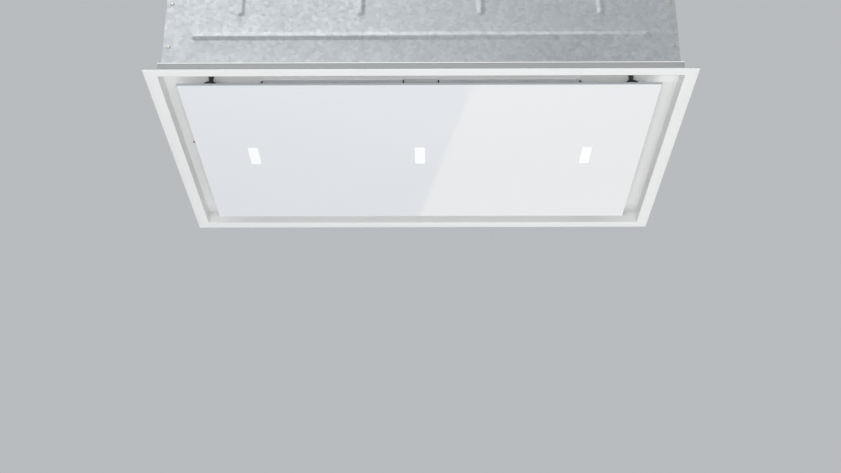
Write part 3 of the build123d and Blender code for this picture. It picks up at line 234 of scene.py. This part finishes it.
def filter_frame_material():
    """Satin aluminium, with painted shade: near-black, non-metal colour inside the latch's pocket and in the gaps
    beside the handle, where shade falls.
    """
    m = Mat("filter_aluminium_frame", rough=0.36, metallic=0.72)
    lines = m.noise(1040.0, 4.0, 0.6, m.stretched((0.03, 1.0, 1.0)))
    cloud = m.noise(18.0, 3.0)
    base = m.mix(m.ranged(m.math("ADD", m.math("MULTIPLY", lines, 0.6), m.math("MULTIPLY", cloud, 0.4)), 0.0, 1.0),
                 (0.45, 0.46, 0.478), (0.553, 0.562, 0.581))
    sep = m.node("ShaderNodeSeparateXYZ")
    m.link(m.co, sep.inputs[0])

    def between(v, lo, hi):
        return m.math("MULTIPLY", m.math("GREATER_THAN", v, lo), m.math("LESS_THAN", v, hi))

    # painted shade: the pocket's inside and the narrow gaps beside the handle are coloured near-black and made
    # non-metal, standing in for the shade that falls there
    latch_shade_mask = m.math("MULTIPLY", between(sep.outputs[0], -0.0306, 0.0306),
                    m.math("MULTIPLY", between(sep.outputs[1], -0.2274, -0.1925), between(sep.outputs[2], 0.01595, 0.0235)))
    handle_gap_shade_mask = m.math("MULTIPLY", between(m.math("ABSOLUTE", sep.outputs[0]), 0.0281, 0.0306),
                    m.math("MULTIPLY", between(sep.outputs[1], -0.2283, -0.1925), between(sep.outputs[2], 0.01595, 0.02405)))
    latch_shade_mask = m.math("MAXIMUM", latch_shade_mask, handle_gap_shade_mask)
    m.colour(m.mix(latch_shade_mask, base, (0.012, 0.012, 0.013)))
    metal = m.math("MULTIPLY", m.math("SUBTRACT", 1.0, latch_shade_mask), 0.72)
    m.link(metal, m.b.inputs["Metallic"])
    m.rough(m.math("ADD", m.ranged(lines, 0.29, 0.44), m.ranged(cloud, -0.03, 0.05)))
    m.bump(lines, 0.10, 0.0003)
    return m.m


WHITE = (0.776, 0.777, 0.774)
m_white = powder_coat("white_powder_coat", WHITE, 0.36, 0.10)
m_back = powder_coat("grey_backing_coat", (0.33, 0.337, 0.335), 0.5, 0.14)
# painted light: the recess plate takes the frame's white powder coat made lighter, lifting the shaded recess
m_plate = powder_coat("white_powder_coat_plate", (0.835, 0.835, 0.83), 0.42, 0.10)
m_zinc = galvanised("galvanised_sheet")
m_zinc_fine = galvanised("galvanised_bracket", (0.60, 0.61, 0.62), 320.0, 0.34, 0.35)
m_alu = brushed("filter_aluminium", (0.78, 0.79, 0.81), 0.36, "x", metallic=0.72)
m_filter_frame = filter_frame_material()
m_alu_handle = brushed("latch_aluminium", (0.472, 0.481, 0.495), 0.34, "x", 300.0, metallic=0.6)
m_mesh = brushed("expanded_aluminium", (0.62, 0.63, 0.64), 0.36, "y", 200.0, 0.08, metallic=0.85)
# painted light: the filter's layer facing the room is a lighter, less metallic copy of the same expanded aluminium as
# the inner layers
m_mesh_face = brushed("expanded_aluminium_face", (0.84, 0.85, 0.86), 0.32, "x", 200.0, 0.08, metallic=0.6)
m_screw = brushed("zinc_plated_steel", (0.66, 0.65, 0.60), 0.30, "z", 400.0, 0.06)
m_spring = brushed("spring_steel", (0.30, 0.31, 0.33), 0.28, "x", 400.0, 0.06)
m_black = moulded("black_moulded_plastic", (0.022, 0.022, 0.024), 0.42)
m_collar = moulded("collar_plastic", (0.035, 0.036, 0.038), 0.46, 0.16)
m_grey = moulded("grey_moulded_plastic", (0.28, 0.29, 0.30), 0.5)
m_whiteplastic = moulded("white_moulded_plastic", (0.78, 0.77, 0.74), 0.42)
m_rubber = moulded("rubber", (0.02, 0.02, 0.021), 0.72, 0.2)
m_carrier = powder_coat("light_grey_coated_steel", (0.60, 0.61, 0.615), 0.44, 0.10)


def glass_material():
    """Glass painted white on its back: a hard gloss over an even white, and a grey-green ground edge."""
    m = Mat("white_back_painted_glass", rough=0.045, ior=1.52, specular=0.5)
    cloud = m.noise(3.0, 2.0)
    face = m.mix(m.ranged(cloud, 0.0, 1.0), (0.748, 0.767, 0.790), (0.760, 0.776, 0.799))
    tc = m.node("ShaderNodeTexCoord")
    sep = m.node("ShaderNodeSeparateXYZ")
    m.link(tc.outputs["Normal"], sep.inputs[0])
    edge = m.math("LESS_THAN", m.math("ABSOLUTE", sep.outputs[2]), 0.9)
    m.colour(m.mix(edge, face, (0.385, 0.40, 0.42)))
    m.rough(m.math("ADD", m.math("MULTIPLY", edge, 0.12), m.ranged(m.noise(25.0, 2.0), 0.035, 0.055)))
    m.bump(m.noise(4.0, 1.0), 0.02, 0.004)
    return m.m


def light_window():
    """Frosted window with the light on behind it: a fine prism grain."""
    m = Mat("lit_frosted_window", rough=0.35, specular=0.3)
    m.colour((0.50, 0.50, 0.50))
    grain = m.noise(900.0, 2.0)
    m.bump(grain, 0.1, 0.0003)
    m.link(m.mix(m.ranged(grain, 0.0, 1.0), (0.98, 0.985, 1.0), (1.0, 1.0, 1.0)), m.b.inputs["Emission Color"])
    m.b.inputs["Emission Strength"].default_value = 0.445
    return m.m


def circuit():
    m = Mat("circuit_board_laminate", rough=0.35, coat=0.3)
    track = m.voronoi(240.0, m.stretched((1.0, 1.0, 0.2)), "Distance", "F1", 0.4)
    m.colour(m.mix(m.ranged(track, 0.0, 1.0, 0.25, 0.35), (0.03, 0.16, 0.07), (0.05, 0.24, 0.10)))
    m.rough(m.ranged(m.noise(300.0), 0.28, 0.42))
    m.bump(track, 0.08, 0.0003)
    return m.m


def cast_motor():
    m = Mat("cast_motor_shield", rough=0.55, metallic=0.6)
    m.colour(m.mix(m.ranged(m.noise(60.0, 4.0), 0.0, 1.0), (0.15, 0.16, 0.17), (0.24, 0.25, 0.26)))
    m.rough(m.ranged(m.noise(200.0), 0.45, 0.65))
    m.bump(m.noise(700.0, 3.0), 0.3, 0.0006)
    return m.m


def red_lens():
    m = Mat("red_indicator", rough=0.18, coat=0.4)
    m.colour(m.mix(m.ranged(m.noise(800.0), 0.0, 1.0), (0.13, 0.02, 0.017), (0.19, 0.03, 0.025)))
    m.b.inputs["Emission Color"].default_value = (0.7, 0.03, 0.02, 1.0)
    m.b.inputs["Emission Strength"].default_value = 0.05
    m.bump(m.noise(1200.0), 0.05, 0.0002)
    return m.m


m_glass = glass_material()
m_light = light_window()
m_pcb = circuit()
m_motor = cast_motor()
m_red = red_lens()

finish = {
    "trim_frame": m_white, "recess_plate": m_plate, "plate_screws": m_screw,
    "housing_top": m_zinc, "housing_wall_near": m_zinc, "housing_wall_far": m_zinc,
    "end_plate_left": m_zinc, "end_plate_right": m_zinc, "shell_rivets": m_screw,
    "duct_collar": m_collar, "collar_screws": m_screw, "flap_pin": m_screw, "flap_near": m_grey, "flap_far": m_grey,
    "scroll_wrap": m_zinc, "scroll_side_left": m_zinc, "scroll_side_right": m_zinc,
    "inlet_ring_left": m_grey, "inlet_ring_right": m_grey, "blower_screws": m_screw,
    "blower_wheel": m_black, "motor_shaft": m_screw, "motor_body": m_motor, "motor_bracket": m_zinc_fine,
    "motor_grommets": m_rubber, "motor_screws": m_screw,
    "electronics_box": m_zinc_fine, "electronics_cover": m_zinc_fine, "control_board": m_pcb,
    "terminal_block": m_whiteplastic, "led_driver": m_whiteplastic, "capacitor": m_whiteplastic,
    "cable_gland": m_grey, "hanging_brackets": m_zinc_fine, "bracket_screws": m_screw,
    "filter_frame": m_filter_frame, "filter_mesh": m_mesh, "latch_handle": m_alu_handle, "latch_spring": m_spring,
    "glass_panel": m_glass, "panel_carrier": m_carrier,
    "led_lens_left": m_light, "led_lens_centre": m_light, "led_lens_right": m_light,
    "led_housings": m_black, "led_boards": m_pcb,
    "hinge_leaf_left": m_zinc_fine, "hinge_leaf_right": m_zinc_fine,
    "hinge_bracket_left": m_zinc_fine, "hinge_bracket_right": m_zinc_fine,
    "hinge_pin_left": m_screw, "hinge_pin_right": m_screw,
    "catch_stud_left": m_black, "catch_stud_right": m_black,
    "catch_clip_left": m_spring, "catch_clip_right": m_spring,
    "indicator_lens": m_red, "indicator_board": m_pcb,
}
for name, ob in nodes.items():
    ob.data.materials.clear()
    ob.data.materials.append(finish[name])


# ---------------------------------------------------------------------------
# mesh helpers
# ---------------------------------------------------------------------------
def piece(name, verts, faces, material, body, smooth=False, sharp=35.0):
    me = bpy.data.meshes.new(name)
    me.from_pydata([tuple(v) for v in verts], [], [tuple(f) for f in faces])
    bm = bmesh.new()
    bm.from_mesh(me)
    bmesh.ops.recalc_face_normals(bm, faces=bm.faces)
    bm.to_mesh(me)
    bm.free()
    me.materials.append(material)
    ob = bpy.data.objects.new(name, me)
    scene.collection.objects.link(ob)
    if smooth:
        me.shade_smooth()
        me.set_sharp_from_angle(angle=radians(sharp))
    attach(ob, body)
    return ob


def mm(points):
    return [tuple(c / 1000.0 for c in p) for p in points]


def arc_points(cx, cy, r, a0, a1, n):
    return [(cx + r * cos(radians(a0 + (a1 - a0) * i / n)), cy + r * sin(radians(a0 + (a1 - a0) * i / n)))
            for i in range(n + 1)]


# ---------------------------------------------------------------------------
# trim frame: one profile carried round the rounded rectangle, white on the room side
# and grey backing coat on the ceiling side
# ---------------------------------------------------------------------------
def trim_frame():
    """Profile as (distance outside the inner wall face, height), walked round the sheet's outline."""
    room = [(0.0, 24.0), (0.0, 2.6)]
    room += arc_points(1.6, 1.6, 1.6, 180, 270, 7)
    room += [(6.0, 0.0), (13.0, 0.0)]
    room += arc_points(20.8, 0.7, 0.7, 270, 360, 4)
    back = [(21.5, 1.55)] + arc_points(21.05, 1.55, 0.45, 0, 90, 3)
    back += [(8.0, 2.0)] + [(1.5 + 0.9 - x, 2.0 + 0.9 - y) for x, y in arc_points(0, 0, 0.9, 90, 0, 4)]
    back += [(1.5, 24.0)]
    profile = room + back
    n_room = len(room)
    hx, hy, rc = 428.5, 278.5, 2.0
    # path: straight edges with a few stations, and rounded corners
    path = []
    for (cx, cy), a0 in (((hx - rc, hy - rc), 0), ((-hx + rc, hy - rc), 90), ((-hx + rc, -hy + rc), 180),
                         ((hx - rc, -hy + rc), 270)):
        for i in range(7):
            a = radians(a0 + 90.0 * i / 6)
            path.append((cx, cy, cos(a), sin(a), a0, i))
    verts, faces, mats = [], [], []
    k = len(profile)
    for cx, cy, nx, ny, a0, i in path:
        for off, z in profile:
            # the flange's outer corner is nearly square: only its last 2 mm are rounded
            d = rc + off
            lim = 2.0
            if d > lim + rc:
                # square corner of the flange with a small radius
                sx = 1.0 if cos(radians(a0 + 45)) > 0 else -1.0
                sy = 1.0 if sin(radians(a0 + 45)) > 0 else -1.0
                px = cx + sx * (d - lim) + nx * lim
                py = cy + sy * (d - lim) + ny * lim
            else:
                px, py = cx + nx * d, cy + ny * d
            verts.append((px, py, z))
    m = len(path)
    for j in range(m):
        for i in range(k):
            a, b = j * k + i, j * k + (i + 1) % k
            c, d = ((j + 1) % m) * k + (i + 1) % k, ((j + 1) % m) * k + i
            faces.append((a, b, c, d))
            mats.append(0 if i < n_room - 1 else 1)
    ob = piece("trim_frame_sheet", mm(verts), faces, m_white, "root", smooth=True, sharp=40.0)
    ob.data.materials.append(m_back)
    for p, idx in zip(ob.data.polygons, mats):
        p.material_index = idx
    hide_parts("trim_frame")
    return ob


trim_frame()


# ---------------------------------------------------------------------------
# pressed sheets: a sheet laid along a bent profile, with stiffening beads pressed outward
# ---------------------------------------------------------------------------
def stations(lo, hi, marks, reach, coarse=40.0, fine=2.0):
    """Cut lines between lo and hi: fine near each mark, coarse elsewhere."""
    cuts = {round(lo, 3), round(hi, 3)}
    for c in marks:
        n = int(round(2 * reach / fine))
        for i in range(n + 1):
            v = c - reach + 2 * reach * i / n
            if lo < v < hi:
                cuts.add(round(v, 3))
    ordered = sorted(cuts)
    out = [ordered[0]]
    for v in ordered[1:]:
        gap = v - out[-1]
        if gap < 0.6:
            if v == ordered[-1]:
                out[-1] = v
            continue
        steps = max(1, int(gap // coarse) + 1) if gap > coarse else 1
        start = out[-1]
        for i in range(1, steps + 1):
            out.append(start + gap * i / steps)
    return out


def bead_height(u, v, beads):
    """Smooth rise of the beads at a point of the sheet: each is a line with rounded ends."""
    best = 0.0
    for u0, v0, u1, v1, half, rise in beads:
        du, dv = u1 - u0, v1 - v0
        ln = du * du + dv * dv
        t = 0.0 if ln == 0 else max(0.0, min(1.0, ((u - u0) * du + (v - v0) * dv) / ln))
        d = sqrt((u - u0 - t * du) ** 2 + (v - v0 - t * dv) ** 2)
        if d < half:
            best = max(best, rise * 0.5 * (1 + cos(pi * d / half)))
    return best


def pressed_sheet(name, us, vs, place, thickness, beads, material, body, replaced, skip=None):
    """place(u, v, h) gives the point h mm above the sheet's outer face; skip(u, v) leaves a cell open."""
    nu, nv = len(us), len(vs)
    verts = []
    for face_h in (0.0, -thickness):
        for v in vs:
            for u in us:
                verts.append(place(u, v, face_h + bead_height(u, v, beads)))
    off = nu * nv
    faces = []
    solid = {}
    for j in range(nv - 1):
        for i in range(nu - 1):
            if skip and skip((us[i] + us[i + 1]) / 2, (vs[j] + vs[j + 1]) / 2):
                continue
            solid[(i, j)] = True
    for (i, j) in solid:
        a, b, c, d = j * nu + i, j * nu + i + 1, (j + 1) * nu + i + 1, (j + 1) * nu + i
        faces.append((a, b, c, d))
        faces.append((off + d, off + c, off + b, off + a))
        if (i - 1, j) not in solid:
            faces.append((a, d, off + d, off + a))
        if (i + 1, j) not in solid:
            faces.append((b, off + b, off + c, c))
        if (i, j - 1) not in solid:
            faces.append((a, off + a, off + b, b))
        if (i, j + 1) not in solid:
            faces.append((d, c, off + c, off + d))
    ob = piece(name, mm(verts), faces, material, body, smooth=True, sharp=38.0)
    bm = bmesh.new()
    bm.from_mesh(ob.data)
    loose = [v for v in bm.verts if not v.link_faces]
    bmesh.ops.delete(bm, geom=loose, context="VERTS")
    bm.to_mesh(ob.data)
    bm.free()
    if replaced:
        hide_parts(replaced)
    return ob


def along(profile):
    """Cumulative length and unit normal (to the left of the walk) at each point of a flat polyline."""
    ln = [0.0]
    for (a, b), (c, d) in zip(profile, profile[1:]):
        ln.append(ln[-1] + sqrt((c - a) ** 2 + (d - b) ** 2))
    normals = []
    for i in range(len(profile)):
        p0 = profile[max(0, i - 1)]
        p1 = profile[min(len(profile) - 1, i + 1)]
        tx, ty = p1[0] - p0[0], p1[1] - p0[1]
        n = sqrt(tx * tx + ty * ty)
        normals.append((-ty / n, tx / n))
    return ln, normals


def profile_sheet(name, us, profile, to_world, beads_uv, material, body, replaced, thickness=1.0, cuts=()):
    """A sheet swept straight along u on a bent profile; beads are given in (u, length along the profile)."""
    ln, nr = along(profile)
    # extra cuts along the profile where beads run
    vs = sorted(set(ln) | {c for c in cuts if 0 < c < ln[-1]})

    def at(v):
        for i in range(len(ln) - 1):
            if v <= ln[i + 1] + 1e-9:
                t = 0.0 if ln[i + 1] == ln[i] else (v - ln[i]) / (ln[i + 1] - ln[i])
                p = (profile[i][0] + t * (profile[i + 1][0] - profile[i][0]),
                     profile[i][1] + t * (profile[i + 1][1] - profile[i][1]))
                n = (nr[i][0] + t * (nr[i + 1][0] - nr[i][0]), nr[i][1] + t * (nr[i + 1][1] - nr[i][1]))
                k = sqrt(n[0] ** 2 + n[1] ** 2)
                return p, (n[0] / k, n[1] / k)
        return profile[-1], nr[-1]

    table = {round(v, 6): at(v) for v in vs}

    def place(u, v, h):
        p, n = table[round(v, 6)]
        return to_world(u, p[0] + n[0] * h, p[1] + n[1] * h)

    return pressed_sheet(name, us, vs, place, thickness, beads_uv, material, body, replaced)


def long_wall(side, replaced):
    """Housing wall: bottom edge turned in, tall web with two pressed beads, top edge turned in."""
    prof = [(254.0, 25.2), (274.0, 25.2)] + arc_points(274.0, 26.2, 1.0, -90, 0, 4) + \
           [(275.0, 27.0), (275.0, 262.8)] + arc_points(273.9, 262.9, 1.1, 0, 90, 4) + [(273.5, 264.0), (264.0, 264.0)]
    prof = [(a, -b) for a, b in prof]      # walked so that the outer face is on the left
    ln, _ = along(prof)
    base = ln[6]
    rows = (80.0, 212.0)
    beads, cuts = [], []
    for z in rows:
        v = base + (z - 26.2)
        beads.append((-372.0, v, 372.0, v, 9.0, 1.8))
        cuts += [v - 9 + i * 1.5 for i in range(13)]
    for x in (-300.0, -100.0, 100.0, 300.0):
        beads.append((x, base + 100.0, x, base + 166.0, 8.0, 1.6))
    for k in range(9):
        cuts.append(base + 100.0 - 8.0 + 2.0 * k)
        cuts.append(base + 166.0 - 8.0 + 2.0 * k)
    us = stations(-424.0, 424.0, [-300.0, -100.0, 100.0, 300.0] + [-372.0, 372.0], 9.0, 60.0, 1.6)
    return profile_sheet(f"housing_wall_{'near' if side < 0 else 'far'}_sheet", us, prof,
                         lambda u, a, b: (u, side * a, -b), beads, m_zinc, "root", replaced, 1.0, cuts)


long_wall(-1, "housing_wall_near")
long_wall(1, "housing_wall_far")



def end_wall(side, replaced):
    """End plate: wide bottom edge turned in, web with two long beads, top edge turned in under the top sheet."""
    prof = [(383.0, 25.2), (423.9, 25.2)] + arc_points(423.9, 26.3, 1.1, -90, 0, 4) + \
           [(425.0, 27.2), (425.0, 262.4)] + arc_points(423.7, 262.6, 1.3, 0, 90, 4) + [(423.0, 263.9), (409.0, 263.9)]
    prof = [(a, -b) for a, b in prof]
    ln, _ = along(prof)
    base = ln[6]
    beads, cuts = [], []
    for z in (80.0, 178.0):
        v = base + (z - 26.3)
        beads.append((-222.0, v, 222.0, v, 9.0, 1.8))
        cuts += [v - 9 + i * 1.5 for i in range(13)]
    us = stations(-275.0, 275.0, [-222.0, 222.0], 9.0, 60.0, 1.5)
    return profile_sheet(f"end_plate_{'left' if side < 0 else 'right'}_sheet", us, prof,
                         lambda u, a, b: (side * a, u, -b), beads, m_zinc, "root", replaced, 1.0, cuts)


end_wall(-1, "end_plate_left")
end_wall(1, "end_plate_right")


def cut_round(ob, x, y, z0, z1, r, n=72):
    """Cut a round hole through a piece, upright at x, y."""
    vs, fs = [], []
    for z in (z0, z1):
        for i in range(n):
            a = 2 * pi * i / n
            vs.append((x + r * cos(a), y + r * sin(a), z))
    for i in range(n):
        fs.append((i, (i + 1) % n, n + (i + 1) % n, n + i))
    fs.append(tuple(reversed(range(n))))
    fs.append(tuple(range(n, 2 * n)))
    cm = bpy.data.meshes.new("cutter")
    cm.from_pydata(mm(vs), [], fs)
    co = bpy.data.objects.new("cutter", cm)
    scene.collection.objects.link(co)
    mod = ob.modifiers.new("hole", "BOOLEAN")
    mod.operation = "DIFFERENCE"
    mod.solver = "EXACT"
    mod.object = co
    dg = bpy.context.evaluated_depsgraph_get()
    new = bpy.data.meshes.new_from_object(ob.evaluated_get(dg))
    ob.modifiers.remove(mod)
    old = ob.data
    ob.data = new
    bpy.data.meshes.remove(old)
    bpy.data.objects.remove(co)
    bpy.data.meshes.remove(cm)
    new.shade_smooth()
    new.set_sharp_from_angle(angle=radians(38.0))


def top_sheet():
    """Top of the housing: pressed beads along it, the duct hole and the cable hole."""
    beads = [(-368.0, y, 368.0, y, 9.0, 1.8) for y in (-212.0, -160.0, 160.0, 212.0)]
    beads += [(-368.0, y, -150.0, y, 8.0, 1.6) for y in (-70.0, 0.0, 70.0)]
    beads += [(150.0, y, 232.0, y, 8.0, 1.6) for y in (-70.0, 0.0, 70.0)]
    us = stations(-424.0, 424.0, [-368.0, 368.0, -150.0, 150.0, 232.0], 9.0, 70.0, 1.8)
    vs = stations(-274.2, 274.2, [-212.0, -160.0, 160.0, 212.0, -70.0, 0.0, 70.0], 9.0, 70.0, 1.5)
    ob = pressed_sheet("housing_top_sheet", us, vs, lambda u, v, h: (u, v, 265.0 + h), 1.0, beads, m_zinc, "root",
                       "housing_top")
    cut_round(ob, 0.0, 0.0, 255.0, 275.0, 73.3)
    cut_round(ob, 362.0, 80.0, 255.0, 275.0, 10.2, 40)


top_sheet()


# ---------------------------------------------------------------------------
# grease filter: layers of expanded metal
# ---------------------------------------------------------------------------
def expanded_layer(name, z, long_way, short_way, width, thick, turned, half_u, lo_v, hi_v, keep_out, material):
    """Zig-zag strands whose corners meet in the bonds; turned lays the long way of the diamonds along Y."""
    verts, faces = [], []
    rows = int((hi_v - lo_v) / (short_way / 2)) if not turned else int(2 * half_u / (short_way / 2))
    start = lo_v if not turned else -half_u
    a0, a1 = (-half_u, half_u) if not turned else (lo_v, hi_v)
    steps = int((a1 - a0) / (long_way / 2))
    for j in range(rows):
        y0 = start + j * short_way / 2
        y1 = y0 + short_way / 2
        run = []
        runs = []
        for i in range(steps + 1):
            a = a0 + i * long_way / 2
            on_high = (i + j) % 2
            b = y1 if on_high else y0
            x, y = (a, b) if not turned else (b, a)
            blocked = keep_out[0] < x < keep_out[1] and keep_out[2] < y < keep_out[3]
            if blocked:
                if len(run) > 1:
                    runs.append(run)
                run = []
            else:
                run.append((a, b, 1 if on_high else -1))
        if len(run) > 1:
            runs.append(run)
        # half width measured across the slanted strand, with a mitred corner
        slant = sqrt((long_way / 2) ** 2 + (short_way / 2) ** 2)
        w = width / 2 * slant / (long_way / 2)
        for run in runs:
            first = len(verts)
            for a, b, s in run:
                lift = 0.22 * s
                for dw, dz in ((-w, 0.0), (w, 0.28), (w, 0.28 + thick), (-w, thick)):
                    p = (a, b + dw) if not turned else (b + dw, a)
                    verts.append((p[0], p[1], z + dz + lift))
            n = len(run)
            for i in range(n - 1):
                q = first + 4 * i
                for k in range(4):
                    faces.append((q + k, q + (k + 1) % 4, q + 4 + (k + 1) % 4, q + 4 + k))
            faces.append((first + 3, first + 2, first + 1, first))
            e = first + 4 * (n - 1)
            faces.append((e, e + 1, e + 2, e + 3))
    return piece(name, mm(verts), faces, material, "root")


pocket = (-35.5, 35.5, -238.0, -190.8)
lower = expanded_layer("filter_mesh_lower", 16.45, 23.0, 11.5, 1.9, 0.45, False, 264.5, -226.4, 199.6, pocket,
                       m_mesh_face)
middle = expanded_layer("filter_mesh_middle", 18.7, 14.0, 7.0, 1.35, 0.45, True, 264.5, -226.4, 199.6, pocket, m_mesh)
upper = expanded_layer("filter_mesh_upper", 21.2, 16.0, 8.0, 1.5, 0.45, False, 264.5, -226.4, 199.6, pocket, m_mesh)
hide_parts("filter_mesh")


# ---------------------------------------------------------------------------
# back of the panel: hemmed edges of the tray's windows and pressed beads between them
# ---------------------------------------------------------------------------
panel_x, tray_z = -3.0, 5.8


def window_hems():
    """The sheet's edge folded back round each window: a flat fold with a rounded nose."""
    profile = [(0.25, tray_z - 0.35)] + [(0.9 - 0.95 * cos(radians(a)), tray_z + 0.62 + 0.95 * sin(radians(a)))
                                        for a in (-75, -45, -15, 15, 45, 75)]
    profile += [(2.2, tray_z + 1.58), (5.6, tray_z + 1.5), (6.5, tray_z + 1.3), (6.9, tray_z + 0.75), (7.0, tray_z - 0.35)]
    verts, faces = [], []
    k = len(profile)
    for sx in (-1, 1):
        for sy in (-1, 1):
            wx, wy, r = panel_x + sx * 150.0, sy * 105.0, 12.0
            start = len(verts)
            ring = []
            for cx, cy, a0 in ((85.0 - r, 60.0 - r, 0), (-85.0 + r, 60.0 - r, 90), (-85.0 + r, -60.0 + r, 180),
                               (85.0 - r, -60.0 + r, 270)):
                for i in range(9):
                    a = radians(a0 + 90.0 * i / 8)
                    ring.append((wx + cx, wy + cy, cos(a), sin(a)))
            for cx, cy, nx, ny in ring:
                for off, z in profile:
                    verts.append((cx + nx * (r + off), cy + ny * (r + off), z))
            m = len(ring)
            for j in range(m):
                for i in range(k):
                    faces.append((start + j * k + i, start + j * k + (i + 1) % k,
                                  start + ((j + 1) % m) * k + (i + 1) % k, start + ((j + 1) % m) * k + i))
    return piece("carrier_window_hems", mm(verts), faces, m_carrier, "panel", smooth=True, sharp=50.0)


def ridges(name, lines, half, rise, z0, material, body, n_across=8, n_end=7):
    """Pressed beads: each a half-round ridge along a line, running out in a round end."""
    verts, faces = [], []
    for x0, y0, x1, y1 in lines:
        ln = sqrt((x1 - x0) ** 2 + (y1 - y0) ** 2)
        tx, ty = (x1 - x0) / ln, (y1 - y0) / ln
        marks = [(-half * cos(radians(90.0 * i / n_end)), sin(radians(90.0 * i / n_end))) for i in range(n_end)]
        marks = [(t, max(k, 0.04)) for t, k in marks] + [(ln * i / 6.0, 1.0) for i in range(7)]
        marks += [(ln + half * sin(radians(90.0 * i / n_end)), max(cos(radians(90.0 * i / n_end)), 0.04))
                  for i in range(1, n_end + 1)]
        start = len(verts)
        for t, k in marks:
            for i in range(n_across + 1):
                c = -cos(pi * i / n_across)
                h = 0.5 * (1 + cos(pi * c))
                verts.append((x0 + tx * t - ty * half * k * c, y0 + ty * t + tx * half * k * c, z0 + rise * k * h))
            verts.append((x0 + tx * t + ty * half * k, y0 + ty * t - tx * half * k, z0 - 0.35))
            verts.append((x0 + tx * t - ty * half * k, y0 + ty * t + tx * half * k, z0 - 0.35))
        row = n_across + 3
        loop = list(range(n_across + 1)) + [n_across + 2, n_across + 1]
        for j in range(len(marks) - 1):
            for i in range(row):
                a, b = loop[i], loop[(i + 1) % row]
                faces.append((start + j * row + a, start + j * row + b,
                              start + (j + 1) * row + b, start + (j + 1) * row + a))
        faces.append(tuple(start + q for q in reversed(loop)))
        faces.append(tuple(start + (len(marks) - 1) * row + q for q in loop))
    return piece(name, mm(verts), faces, material, body, smooth=True, sharp=50.0)


window_hems()
ridges("carrier_beads",
       [(panel_x + s * x, -178.0, panel_x + s * x, 178.0) for s in (-1, 1) for x in (262.0,)]
       + [(panel_x + s * 42.0, y0, panel_x + s * 42.0, y1) for s in (-1, 1) for y0, y1 in ((-178.0, -60.0), (60.0, 178.0))]
       + [(panel_x + s * 72.0, 0.0, panel_x + s * 228.0, 0.0) for s in (-1, 1)]
       + [(panel_x + s * 72.0, y, panel_x + s * 228.0, y) for s in (-1, 1) for y in (-190.0, 190.0)],
       6.0, 1.7, tray_z, m_carrier, "panel")


# ---------------------------------------------------------------------------
# stage: floor, world, lights
# ---------------------------------------------------------------------------
floor_z = -4.2
me = bpy.data.meshes.new("floor")
me.from_pydata([(-40, -40, floor_z), (40, -40, floor_z), (40, 40, floor_z), (-40, 40, floor_z)], [], [(0, 1, 2, 3)])
floor = bpy.data.objects.new("floor", me)
scene.collection.objects.link(floor)
fm = Mat("floor_paint", rough=0.7)
fm.colour((0.80, 0.80, 0.795))
me.materials.append(fm.m)

world = bpy.data.worlds.new("studio")
scene.world = world
world.use_nodes = True
bg = world.node_tree.nodes["Background"]
bg.inputs["Color"].default_value = (0.62, 0.64, 0.66, 1.0)
bg.inputs["Strength"].default_value = 0.78


def area(name, location, target, size, power, colour=(1, 1, 1), glossy=True, diffuse=True):
    d = bpy.data.lights.new(name, "AREA")
    d.shape = "RECTANGLE"
    d.size, d.size_y = size
    d.energy = power
    d.color = colour
    o = bpy.data.objects.new(name, d)
    scene.collection.objects.link(o)
    o.location = location
    o.rotation_euler = (Vector(target) - Vector(location)).to_track_quat("-Z", "Y").to_euler()
    o.visible_camera = False
    o.visible_glossy = glossy
    o.visible_diffuse = diffuse
    return o


# broad soft light from below and behind, a long soft strip before the near edge, and a fill from above
area("soft_below", (0.6, 1.5, -2.1), (0.0, 0.0, 0.0), (4.0, 2.4), 31.0, glossy=False)
area("soft_behind", (0.4, 2.4, -1.2), (0.0, 0.0, 0.0), (3.0, 1.0), 18.0, glossy=False)
area("strip_near", (-0.25, -2.2, -1.18), (-0.05, -0.1, 0.01), (2.4, 0.1), 40.5, glossy=False)
area("strip_near_sheen", (0.0, -1.15, -0.5355), (0.0, -0.25, 0.01), (2.2, 0.5), 4.5, diffuse=False)
area("soft_above", (-1.2, -1.6, 2.6), (0.0, 0.0, 0.1), (3.8, 3.2), 38.0)
area("soft_rear", (2.2, 2.8, 1.7), (0.0, 0.0, 0.12), (3.2, 2.2), 26.0)


def card(name, corner, along, width, radiance, colour=(1.0, 1.0, 1.0)):
    """A soft card seen only as a reflection: its left edge runs from corner by the vector along."""
    edge = Vector(along)
    length = edge.length
    edge.normalize()
    across = Vector((edge.y, -edge.x, 0.0))
    centre = Vector(corner) + edge * length / 2 + across * width / 2
    d = bpy.data.lights.new(name, "AREA")
    d.shape = "RECTANGLE"
    d.size, d.size_y = width, length
    d.energy = radiance * pi * width * length
    d.color = colour
    o = bpy.data.objects.new(name, d)
    scene.collection.objects.link(o)
    rot = Matrix((across, -edge, Vector((0.0, 0.0, -1.0)))).transposed()
    o.matrix_world = Matrix.Translation(centre) @ rot.to_4x4()
    o.visible_camera = False
    o.visible_diffuse = False
    return o


# its left edge crosses the glass as the soft diagonal between the panel's two tones
card("reflection_card", (0.186 + 0.042, 2.388 - 0.2, -1.6), (-0.293, 1.604, 0.0), 1.6, 0.64, (1.0, 0.80, 0.60))

scene.view_settings.view_transform = "Standard"
scene.view_settings.look = "None"
